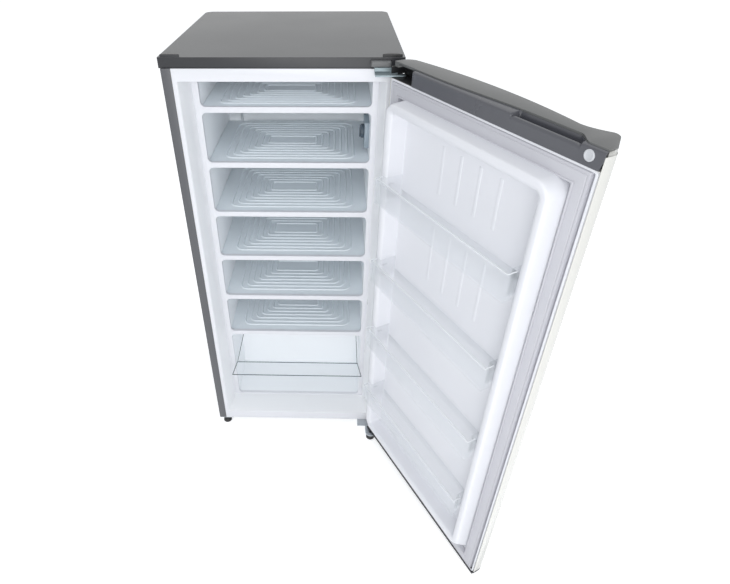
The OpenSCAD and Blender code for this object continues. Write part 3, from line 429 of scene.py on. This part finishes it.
# %% The frame's slopes into the mouth are glossier and painted brighter, painted light; its front face is not
MOUTH_HALF = 0.2335    # metres from the middle to the sides of the mouth
MOUTH_LOW, MOUTH_HIGH = 0.04, 1.16
mouth = bpy.data.objects["front_frame_dressed"].data
mouth.materials.append(mouth_liner_painted_light)
# Painted light: the slopes into the mouth take a brighter copy of the frame's plastic.
for face in mouth.polygons:
    x, _, z = face.center
    if abs(face.normal.y) < 0.7 and abs(x) < MOUTH_HALF and MOUTH_LOW < z < MOUTH_HIGH:
        face.material_index = 1
print("glossy faces with painted light:", sum(f.material_index for f in mouth.polygons))

# %% Pieces whose solids already have the right edges only get their finish
AS_DRAWN = [
    ("cabinet_foam", foam), ("evaporator_tube", bare_aluminium),
    ("evaporator_riser", bare_aluminium), ("condenser_tube", black_enamel),
    ("condenser_wires", black_enamel), ("upper_hinge_screws", dark_steel),
    ("lower_hinge_screws", zinc), ("foot_left", black_nylon), ("foot_right", black_nylon),
    ("rear_feet", black_nylon), ("compressor_grommets", black_rubber),
    ("compressor_bolts", zinc), ("filter_drier", copper), ("suction_pipe", copper),
    # The upper bush is black: painted shade for the hinge recess it sits in; the lower bush
    # keeps its natural nylon.
    ("discharge_pipe", copper), ("cap_screw", zinc), ("upper_bush", black_nylon),
    ("lower_bush", natural_nylon),
]
for node, finish in AS_DRAWN:
    mesh = frame["nodes"][node].data
    mesh.materials.clear()
    mesh.materials.append(finish)
print("finished as drawn:", len(AS_DRAWN), "solids")

# %% [markdown]
# ## Tools for new pieces
# A new piece starts from a primitive at its own size and place, in the
# millimetres of the part. The door's pieces are drawn in the door's own
# directions, s across it from the hinge side and t outward, and are then
# swung open about the hinge by one matrix, which keeps their shapes plain.

# %% Blocks, outlines, insets and the door's swing
HINGE_ON_DOOR = Vector((0.009, 0.0265, 0))       # in the door's own directions
HINGE_ON_CABINET = Vector((0.261, -0.3025, 0))
DOOR_TURN = 298.2      # degrees: 180 for the closed door, and 118.2 open
DOOR_OPEN = (Matrix.Translation(HINGE_ON_CABINET)
             @ Matrix.Rotation(math.radians(DOOR_TURN), 4, "Z")
             @ Matrix.Translation(-HINGE_ON_DOOR))


def block(name, x0, x1, y0, y1, z0, z1, radius_mm=0.0, segments=3):
    """A cube primitive at its size and place, with rounded edges."""
    nothing_selected()
    middle = ((x0 + x1) / 2 * MM, (y0 + y1) / 2 * MM, (z0 + z1) / 2 * MM)
    bpy.ops.mesh.primitive_cube_add(size=MM, location=middle,
                                    scale=(x1 - x0, y1 - y0, z1 - z0))
    piece = bpy.context.object
    piece.name = name
    bpy.ops.object.transform_apply(location=True, rotation=True, scale=True)
    return rounded(piece, radius_mm, segments)


def pane(name, across, up, level, corner_mm, upright=False):
    """A rounded rectangle: flat at height level, or upright and facing -Y at level."""
    nothing_selected()
    mid_a, mid_b = sum(across) / 2 * MM, sum(up) / 2 * MM
    spot = (mid_a, level * MM, mid_b) if upright else (mid_a, mid_b, level * MM)
    turn = (math.pi / 2, 0, 0) if upright else (0, 0, 0)
    bpy.ops.mesh.primitive_plane_add(size=MM, location=spot, rotation=turn)
    piece = bpy.context.object
    piece.name = name
    piece.scale = (across[1] - across[0], up[1] - up[0], 1)
    bpy.ops.object.transform_apply(location=True, rotation=True, scale=True)
    if corner_mm > 0:
        edit_all(piece)
        bpy.ops.mesh.bevel(offset=corner_mm * MM, segments=8, affect="VERTICES")
        bpy.ops.object.mode_set(mode="OBJECT")
    return piece


def stepped(piece, steps, open_middle=False):
    """Insets the last face again and again: each step is how far in and how far up."""
    edit_all(piece)
    for inward, upward in steps:
        bpy.ops.mesh.inset(thickness=inward * MM, depth=upward * MM, use_even_offset=True)
    if open_middle:
        bpy.ops.mesh.delete(type="FACE")
    bpy.ops.object.mode_set(mode="OBJECT")


def sheet_of(name, columns, rows, place):
    """A grid primitive whose corners are set by a formula of u and v, 0 to 1, in mm."""
    nothing_selected()
    bpy.ops.mesh.primitive_grid_add(x_subdivisions=columns, y_subdivisions=rows, size=2)
    piece = bpy.context.object
    piece.name = name
    for v in piece.data.vertices:
        v.co = Vector(place((v.co.x + 1) / 2, (v.co.y + 1) / 2)) * MM
    return piece


def thickened(piece, wall_mm):
    """Gives a sheet its wall, behind its face."""
    pick(piece)
    wall = piece.modifiers.new("wall", "SOLIDIFY")
    wall.thickness = wall_mm * MM
    wall.offset = -1.0
    bpy.ops.object.modifier_apply(modifier=wall.name)
    return piece


def joined(base, extras):
    """Makes one piece of several; each keeps its own finish."""
    nothing_selected()
    for extra in extras:
        extra.select_set(True)
    base.select_set(True)
    bpy.context.view_layer.objects.active = base
    bpy.ops.object.join()
    return base


def swung(piece):
    """Turns a piece drawn on the closed door to the open door."""
    piece.data.transform(DOOR_OPEN)
    piece.data.update()
    return piece


def finished_in(piece, material):
    """Gives a piece one finish; settle() does this for a whole piece."""
    piece.data.materials.clear()
    piece.data.materials.append(material)
    return piece


# %% [markdown]
# ## The shelves
# Six pressed aluminium plates carry the evaporator. Each is stamped with
# rounded rectangles, one inside the other, that stiffen the plate and let
# cold air under the packets. Each loop is a plane with rounded corners,
# inset three times: 2 mm in and 3.2 mm up, 2.4 mm of crest, then 2 mm in
# and 3.2 mm down. The finished shelf is copied down the cabinet by its
# pitch.

# %% One shelf, then five copies
SHELVES, SHELF_TOP, SHELF_PITCH = 6, 1060.0, 143.4
SHELF_FRONT, SHELF_BACK, SHELF_HALF = -186, 127, 208
SHELF_THICK, FOLD_DEEP = 3, 14
LOOPS, LOOP_PITCH, LOOP_CORNER, CORNER_STEP = 7, 17.0, 26, 2.5
LOOP_FRONT, LOOP_BACK, LOOP_HALF = -162, 102, 172        # outline of the outer loop
LOOP_STEPS = [(2, 3.2), (2.4, 0), (2, -3.2)]
plate = block("shelf_1_pressed", -SHELF_HALF, SHELF_HALF, SHELF_FRONT, SHELF_BACK,
              SHELF_TOP - SHELF_THICK, SHELF_TOP, 0.9)
folds = [block("fold", x0, x0 + SHELF_THICK, SHELF_FRONT, SHELF_BACK,
               SHELF_TOP - FOLD_DEEP, SHELF_TOP - 1, 0.9)
         for x0 in (-SHELF_HALF, SHELF_HALF - SHELF_THICK)]
loops = []
for i in range(LOOPS):
    inward = LOOP_PITCH * i
    loop = pane("loop", (inward - LOOP_HALF, LOOP_HALF - inward),
                (LOOP_FRONT + inward, LOOP_BACK - inward),
                SHELF_TOP - 0.2, LOOP_CORNER - CORNER_STEP * i)
    stepped(loop, LOOP_STEPS, open_middle=True)
    loops.append(rounded(loop, 0.8, 2, 20))
shelf_1 = joined(plate, folds + loops)
settle(shelf_1, "shelf_1", shelf_enamel)
for k in range(2, SHELVES + 1):
    shelf = shelf_1.copy()
    shelf.data = shelf_1.data.copy()
    shelf.name = "shelf_%d_pressed" % k
    bpy.context.scene.collection.objects.link(shelf)
    shelf.data.transform(Matrix.Translation((0, 0, -(k - 1) * SHELF_PITCH * MM)))
    settle(shelf, "shelf_%d" % k)
print("shelf", len(shelf_1.data.polygons), "faces, pitch", SHELF_PITCH, "mm")

# %% [markdown]
# ## The top cover
# A moulded ABS lid, grained on top. Its top is a lighter grey than its darker satin sides:
# painted light from above on the same plastic.
# Two low segments of a disc stand at its front edge: one roofs the hinge,
# the other covers the hinge's place for a door hung from the other side.

# %% Cover with its darker sides and its top of painted light, and the two hinge caps
COVER_TOP, COVER_FRONT = 1195, -272.0
CAP_SIDE, CAP_CHORD, CAP_DEEP, CAP_HIGH = 241, 44.0, 12.0, 6.0
cover = softened("top_cover", charcoal_abs, 3.0, 4)
cover.data.materials.append(cover_abs_painted_light)
# Painted light: the faces that look up take the lighter grey.
for face in cover.data.polygons:
    if face.normal.z > 0.6 and face.center.z > 1.19:
        face.material_index = 1
radius = (CAP_CHORD ** 2 / 4 + CAP_DEEP ** 2) / (2 * CAP_DEEP)
for node, side, finish in (("hinge_cover", 1, black_nylon),
                           ("blank_hinge_cover", -1, charcoal_abs)):
    nothing_selected()
    bpy.ops.mesh.primitive_cylinder_add(
        vertices=96, radius=radius * MM, depth=(CAP_HIGH + 1) * MM,
        location=(side * CAP_SIDE * MM, (COVER_FRONT + CAP_DEEP - radius) * MM,
                  (COVER_TOP + (CAP_HIGH + 1) / 2) * MM))
    disc = bpy.context.object
    disc.name = node + "_moulded"
    bpy.ops.object.transform_apply(location=True, rotation=True, scale=True)
    edit_all(disc)
    bpy.ops.mesh.bisect(plane_co=(0, (COVER_FRONT + 0.5) * MM, 0), plane_no=(0, 1, 0),
                        use_fill=True, clear_inner=True)
    bpy.ops.object.mode_set(mode="OBJECT")
    rounded(disc, 2.0, 4)
    settle(disc, node, finish)
# The hinge cover's nose takes the lighter grey too: painted light where it stands out into the
# light.
nose = block("hinge_cover_nose", 195, 238, -286, -271, 1178, 1190.5, 2.4, 4)
settle(nose, "hinge_cover", cover_abs_painted_light)
print("hinge caps of radius", round(radius, 1), "mm")

# %% [markdown]
# ## The thermostat, the drawer and the racks
# The thermostat's knob sits in a small housing on the right wall. The
# drawer and the racks are clear mouldings: what the eye sees of them are
# their edges, so those get bars with a fuller finish. A ray that crosses
# many clear faces ends black, so each wall of the drawer keeps its inner
# face alone: the faces that point away from the drawer's middle go.

# %% Thermostat knob and drawer
DRAWER_MIDDLE = Vector((0, -0.120, 0.135))
DRAWER_TOP, DRAWER_FRONT, LIP_FRONT = 209.4, -196.2, -233.6
LIP_DROP, LIP_FLARE = 22, 12.5                   # the lip's sides slope down and out
softened("thermostat_dial", dial_abs, 0.8, 2)
tray = softened("drawer", green_ps, 0, 1)
for face in tray.data.polygons:
    face.select = face.normal.dot(face.center - DRAWER_MIDDLE) > 0
pick(tray)
bpy.ops.object.mode_set(mode="EDIT")
bpy.ops.mesh.select_mode(type="FACE")
bpy.ops.mesh.delete(type="FACE")
bpy.ops.mesh.select_mode(type="VERT")
bpy.ops.object.mode_set(mode="OBJECT")
print("drawer's inner skin:", len(tray.data.polygons), "faces")
edges = [block("top edge", -200, 200, DRAWER_FRONT, -194.4, 207.2, DRAWER_TOP, 0.5),
         block("lip edge", -213, 213, LIP_FRONT, -231.6, 185.0, 187.2, 0.5)]
edges += [block("side edge", x0, x1, -195, -45, 207.4, DRAWER_TOP, 0.5)
          for x0, x1 in ((-200.2, -198.4), (198.4, 200.2))]
for side, x0, x1 in ((-1, -200.8, -199), (1, 199, 200.8)):
    wing = block("lip side", x0, x1, -233, -195, 207.4, 209.2)
    for v in wing.data.vertices:
        if v.co.y < -0.215:
            v.co.x += LIP_FLARE * side * MM
            v.co.z -= LIP_DROP * MM
    edges.append(wing)
for bar in edges:
    finished_in(bar, green_edge)
joined(tray, edges)
print("drawer edges:", len(edges))

# %% Door racks with their bright rails
RAIL_TOPS = (970.0, 752.0, 534.0, 316.0)         # mm over the floor, from the top rack down
RACK_S0, RACK_S1 = 62, 478
for k, top in enumerate(RAIL_TOPS, start=1):
    rack = softened("bin_%d" % k, clear_ps, 0.4, 2)
    rails = [block("rail", RACK_S0, RACK_S1, -60.3, -57.8, top - 2.6, top + 0.3, 0.6)]
    rails += [block("end rail", s0, s1, -59, -38, top - 1.6, top + 0.2, 0.4)
              for s0, s1 in ((RACK_S0, RACK_S0 + 2), (RACK_S1 - 2, RACK_S1))]
    for rail in rails:
        finished_in(swung(rail), edge_ps)
    joined(rack, rails)
print("racks dressed:", len(RAIL_TOPS))

# %% [markdown]
# ## The door's liner and its seal
# The liner is one vacuum-formed sheet: a flat flange, a rim that stands
# 48 mm proud of it with 31 mm corners, and a sunken panel with pressed
# beads. The rim is drawn straight first. Then it leans: the higher a point
# stands over the flange, the further its hinge side moves in and its lower
# side moves up, so its foot slopes out below. The door's foam makes room
# for that foot. The seal is an extrusion, mitred and welded at its four
# corners, with ridges that run round the door.

# %% Liner: an outline raised to a rim and sunk again to the panel
RIM_S0, RIM_S1, RIM_Z0, RIM_Z1 = 38.5, 497.5, 66, 1133
RIM_FOOT, RIM_HIGH, RIM_CORNER = 12.6, 48.2, 31  # where it starts, how far it stands out
RIM_WALL = 16          # mm from the outline to the end of the crest
SIDE_LEAN, LOWER_LEAN = 5, 50
RIM_STEPS = [(1.0, 39.0), (1.5, 7.0), (3, 2.2), (5.5, 0), (3.2, -0.5), (2.6, -0.8),
             (2.2, -1.2), (1.6, -1.6), (1.0, -2.0), (0.6, -2.6), (3.8, -33.3)]
BEADS, BEAD_S, BEAD_PITCH, BEAD_W = 4, 194.4, 54, 10
BEAD_SPANS = ((976, 1080), (758, 900))           # heights that the beads run through
flange = block("flange", 1.8, 538.2, 12.5, 15, 30, 1162.5, 0.4)
rim = pane("rim", (RIM_S0, RIM_S1), (RIM_Z0, RIM_Z1), RIM_FOOT, RIM_CORNER, upright=True)
stepped(rim, RIM_STEPS)
for v in rim.data.vertices:
    s, t, z = (c / MM for c in v.co)
    inside = min(s - RIM_S0, RIM_S1 - s, z - RIM_Z0, RIM_Z1 - z)
    height = 1.0 if inside > RIM_WALL else (RIM_FOOT - t) / RIM_HIGH
    v.co.x += SIDE_LEAN * MM * height if s < 200 else 0
    v.co.z += LOWER_LEAN * MM * height if z < 200 else 0
rounded(rim, 3.0, 4, 20)
beads = []
for b in range(BEADS):
    s = BEAD_S + b * BEAD_PITCH
    for z0, z1 in BEAD_SPANS:
        beads.append(block("bead", s, s + BEAD_W, 5.8, 9.5, z0, z1, 1.8))
liner = joined(flange, [rim] + beads)
settle(swung(liner), "door_liner", white_liner)
print("liner", len(liner.data.polygons), "faces")

# %% Foam behind the rim: its lower ridge moves up and stays clear of the sloping foot
FOAM_LIFT = 12
on_door = DOOR_OPEN.inverted()
insulation = softened("door_foam", foam, 0.5, 1)
for v in insulation.data.vertices:
    spot = on_door @ v.co
    if spot.y < -0.005 and spot.z < 0.130:
        v.co.z += FOAM_LIFT * MM
print("foam", len(insulation.data.polygons), "faces")

# %% Seal: ridges and grooves round the door, and the flange's raised lip outside it
SEAL_STEPS = [(0.8, 11.6), (3.6, 0), (0.5, -1.0), (1.2, 0), (0.5, 1.0), (15.6, 0.6),
              (0.5, -1.2), (1.2, 0), (0.5, 1.2), (3.0, 0), (0.6, -11.6)]
seal = pane("seal", (9, 527.5), (36, 1158.5), 12.4, 0, upright=True)
stepped(seal, SEAL_STEPS, open_middle=True)
rounded(seal, 0.5, 2, 30)
settle(swung(seal), "door_gasket", gasket_pvc)
lip = pane("lip", (2.5, 537.0), (31, 1163.2), 12.6, 7, upright=True)
stepped(lip, [(0.5, 9.2), (4.0, 0), (0.5, -9.0)], open_middle=True)
rounded(lip, 0.5, 2, 30)
settle(swung(lip), "door_liner", white_liner)
print("seal", len(seal.data.polygons), "faces")

# %% [markdown]
# ## The door's cap
# The cap closes the top of the door. Its top plate follows the swell of
# the door's front up to the handle's nose. Behind it a dark ledge steps
# down, and a scooped pocket in the ledge takes the fingertips.

# %% Outlines of the cap, all in mm along the door
DOOR_W, DOOR_DEEP, CROWN_S = 540, 74, 235        # the front face is deepest at CROWN_S
FALL_HINGE, FALL_FREE, EDGE_R = 20, 38, 20       # how far it falls back to its two edges
SWELL_S, SWELL, NOSE_S = 445, 25.4, 498          # the swell runs out into the nose
NOSE_OUT, NOSE_R = 50.7, 20
NOSE_TURN, TURN_OUT, NOSE_SLOPE = 514.4, 62.15, 1.43


def smooth(x):
    """0 below 0, 1 above 1, and a soft step between."""
    x = min(max(x, 0.0), 1.0)
    return x * x * (3 - 2 * x)


def front_edge(s):
    """How far out the door's front face lies at s."""
    if s >= NOSE_TURN:
        return TURN_OUT - NOSE_SLOPE * (s - NOSE_TURN)
    if s > NOSE_S:
        return NOSE_OUT + math.sqrt(NOSE_R ** 2 - (s - NOSE_S) ** 2)
    if s < CROWN_S:
        fall = FALL_HINGE * ((s - CROWN_S) / CROWN_S) ** 2
    else:
        fall = FALL_FREE * ((s - CROWN_S) / (DOOR_W - CROWN_S)) ** 2
    swell = SWELL * max(0.0, (s - SWELL_S) / (NOSE_S - SWELL_S)) ** 1.6
    corner = EDGE_R - math.sqrt(EDGE_R ** 2 - (EDGE_R - s) ** 2) if s < EDGE_R else 0
    return DOOR_DEEP - fall + swell - corner


def ledge_edge(s):
    """Where the top plate ends and the ledge begins."""
    return 12.3 + 13.6 * smooth((s - 130) / 270) - 18.5 * smooth((s - 474) / 34)


print("front at its crown:", round(front_edge(CROWN_S), 1),
      "at the nose:", round(front_edge(NOSE_S), 1))


# %% Top plate: one closed section, swept along the door; under the nose it draws in
CAP_TOP, CAP_THICK = 1196, 11
SECTION = [            # 0 the ledge's side or 1 the front, mm out from it, height
    (0, 0, CAP_TOP), (1, -3.0, CAP_TOP), (1, -1.4, 1195.7), (1, -0.4, 1194.9),
    (1, 0, 1193.6), (1, 0, 1190.5), (1, -0.7, 1188.4), (1, -2.0, 1186.6),
    (1, -4.5, 1185.3), (1, -8.0, 1185), (0, 0, 1185), (0, 0, CAP_TOP),
]
SECTION_STEPS = len(SECTION) - 1


def top_plate(u, v):
    """The plate's skin: u along the door, closer set at both ends, v round the section."""
    s = DOOR_W * (1 - math.cos(math.pi * u)) / 2
    side, outward, z = SECTION[round(v * SECTION_STEPS)]
    drop = (CAP_TOP - z) / CAP_THICK
    draw_in = smooth((s - 480) / 50) * drop ** 1.5
    t = (ledge_edge(s), front_edge(s))[side] + outward - (7 * draw_in if side else 0)
    return (s - 13 * draw_in * side, t, z)


plate = sheet_of("cap_plate", 240, SECTION_STEPS, top_plate)
edit_all(plate)
bpy.ops.mesh.remove_doubles(threshold=0.00001)
bpy.ops.mesh.fill_holes(sides=0)
bpy.ops.mesh.select_all(action="SELECT")
bpy.ops.mesh.normals_make_consistent(inside=False)
bpy.ops.object.mode_set(mode="OBJECT")
rounded(plate, 0.8, 2, 50)
room = block("hinge_room", 14, 76.3, -5, 40, 1180, 1191)
pick(plate)
cut = plate.modifiers.new("hinge room", "BOOLEAN")
cut.operation = "DIFFERENCE"
cut.object = room
bpy.ops.object.modifier_apply(modifier=cut.name)
bpy.data.objects.remove(room)
settle(swung(plate), "door_cap", silver_abs)
print("cap plate", len(plate.data.polygons), "faces")

# %% Ledge and finger pocket: one profile blended into the other
LEDGE_S0, LEDGE_LONG = 78, 461.5
POCKET_S0, POCKET_S1 = 353, 489                  # where the pocket's two ends begin
LEDGE_TOP, LEDGE_DEEP = 1192, 28.6
LEDGE = [(0.6, 1192.2), (-1.0, 1192.1), (-2.6, 1192.0), (-4.2, 1191.9)]
LEDGE_NOSE = [(6, 1191.6), (5.2, 1191.2), (4.4, 1190.6), (4, 1189.4), (4, 1187.5),
              (4, 1185.5), (4, 1183), (4, 1181), (4, 1179.5), (4, 1178), (4, 1163.4)]
POCKET_BACK = [(0.6, 1192), (-1, 1186), (-1.5, 1176), (-4, 1172.5)]
POCKET_NOSE = [(14, 1172), (11, 1174), (10.2, 1180), (10.2, 1184), (9.5, 1186.3),
               (7.5, 1187.3), (5, 1187), (3.6, 1185.3), (3.4, 1183.2), (3.9, 1181.2),
               (3.9, 1163.4)]
LEDGE_STEPS = len(LEDGE) + len(LEDGE_NOSE) - 1


def ledge(u, v):
    """The ledge's skin, from the plate over its front; depth blends in the pocket."""
    s = LEDGE_S0 + LEDGE_LONG * u
    depth = smooth((s - POCKET_S0) / 5) * (1 - smooth((s - POCKET_S1) / 9))
    i = round(v * LEDGE_STEPS)
    back = ledge_edge(s)
    if i < len(LEDGE):
        plain = (max(back + LEDGE[i][0], 6.2), LEDGE[i][1])
        scoop = (back + POCKET_BACK[i][0], POCKET_BACK[i][1])
    else:
        plain, scoop = LEDGE_NOSE[i - len(LEDGE)], POCKET_NOSE[i - len(LEDGE)]
    t = plain[0] + (scoop[0] - plain[0]) * depth
    z = plain[1] + (scoop[1] - plain[1]) * depth
    drop = (LEDGE_TOP - z) / LEDGE_DEEP
    free_end = s - 4.0 * smooth((s - 520) / 20) * max(0.0, drop) ** 3
    return (free_end, t, z)


ledge_sheet = thickened(sheet_of("ledge", 220, LEDGE_STEPS, ledge), 1.4)
rounded(ledge_sheet, 0)
settle(swung(ledge_sheet), "grip_insert", grip_abs)
print("ledge", len(ledge_sheet.data.polygons), "faces")

# %% Hinge recess, lined black as painted shade, shell and sole
# Painted shade: black sheets line the hinge recess and stand for the shade deep inside it.
recess_shade_lining = [block("hinge_recess", 2, 78, 4.5, 42, 1163, 1164.3, 0.3),
        block("recess side", 76.3, 78, 4.2, 42, 1163, 1192, 0.6),
        block("recess back", 1, 78, 40.2, 41.8, 1163, 1192, 0.3),
        block("recess lip", 0.2, 1.6, 20, 41, 1168.15, 1172, 0.1)]
settle(swung(joined(recess_shade_lining[0], recess_shade_lining[1:])), "grip_insert", black_nylon)
skin = softened("door_skin", ivory_steel, 0.8, 2)
# Painted shade: the skin's faces inside the hinge recess are black, for the shade there.
skin.data.materials.append(black_nylon)
for face in skin.data.polygons:
    spot = on_door @ face.center
    if spot.z > 1.1635 and spot.x < 0.020 and spot.y < 0.045:
        face.material_index = 1
sole = softened("door_sole", charcoal_abs, 1.0, 2)
sole_edge = finished_in(swung(block("edge", 2, 538, 1.2, 13, 25.6, 30.9, 0.4)), charcoal_abs)
joined(sole, [sole_edge])
print("recess of", len(recess_shade_lining), "sides, skin and sole done")

# %% Painted steel drawn up under the nose
STEEL_S0, STEEL_LONG, STEEL_T0 = 501, 38.6, 8
STEEL_EDGE, STEEL_LIFT, LIFT_OVER = 1184.4, 5.0, 9


def nose_under(u, v):
    """The skin's upper end: higher inside than along its rim."""
    s = STEEL_S0 + STEEL_LONG * u
    t = STEEL_T0 + (front_edge(s) - 0.3 - STEEL_T0) * v
    inside = min(front_edge(s) - 0.3 - t, STEEL_S0 + STEEL_LONG - s) / LIFT_OVER
    return (s, t, STEEL_EDGE + STEEL_LIFT * smooth(inside))


nose_steel = sheet_of("nose_steel", 60, 24, nose_under)
rounded(nose_steel, 0)
settle(swung(nose_steel), "door_skin", ivory_steel)
print("steel under the nose:", len(nose_steel.data.polygons), "faces")

# %% Plug: a round cup with a ring
PLUG_AT = (515 * MM, 2.9 * MM, 1180 * MM)
PLUG_RADIUS, PLUG_DEEP = 9, 3
PLUG_STEPS = [(0.8, 0.8), (1.4, 0.2), (0.8, -0.9), (2.0, -0.2)]
nothing_selected()
bpy.ops.mesh.primitive_cylinder_add(vertices=64, radius=PLUG_RADIUS * MM,
                                    depth=PLUG_DEEP * MM, location=PLUG_AT,
                                    rotation=(math.pi / 2, 0, 0))
plug = bpy.context.object
plug.name = "cap_plug_moulded"
bpy.ops.object.transform_apply(location=True, rotation=True, scale=True)
bpy.ops.object.mode_set(mode="EDIT")
bpy.ops.mesh.select_all(action="DESELECT")
bpy.ops.object.mode_set(mode="OBJECT")
face = min(plug.data.polygons, key=lambda p: p.center.y)
face.select = True
bpy.ops.object.mode_set(mode="EDIT")
bpy.ops.mesh.select_mode(type="FACE")
for inward, upward in PLUG_STEPS:
    bpy.ops.mesh.inset(thickness=inward * MM, depth=upward * MM)
bpy.ops.mesh.select_mode(type="VERT")
bpy.ops.object.mode_set(mode="OBJECT")
rounded(plug, 0.2, 2)
settle(swung(plug), "cap_plug", white_pp)
print("cap, ledge and plug done")

# %% Finish with the plain view transform
bpy.context.scene.view_settings.view_transform = "Standard"
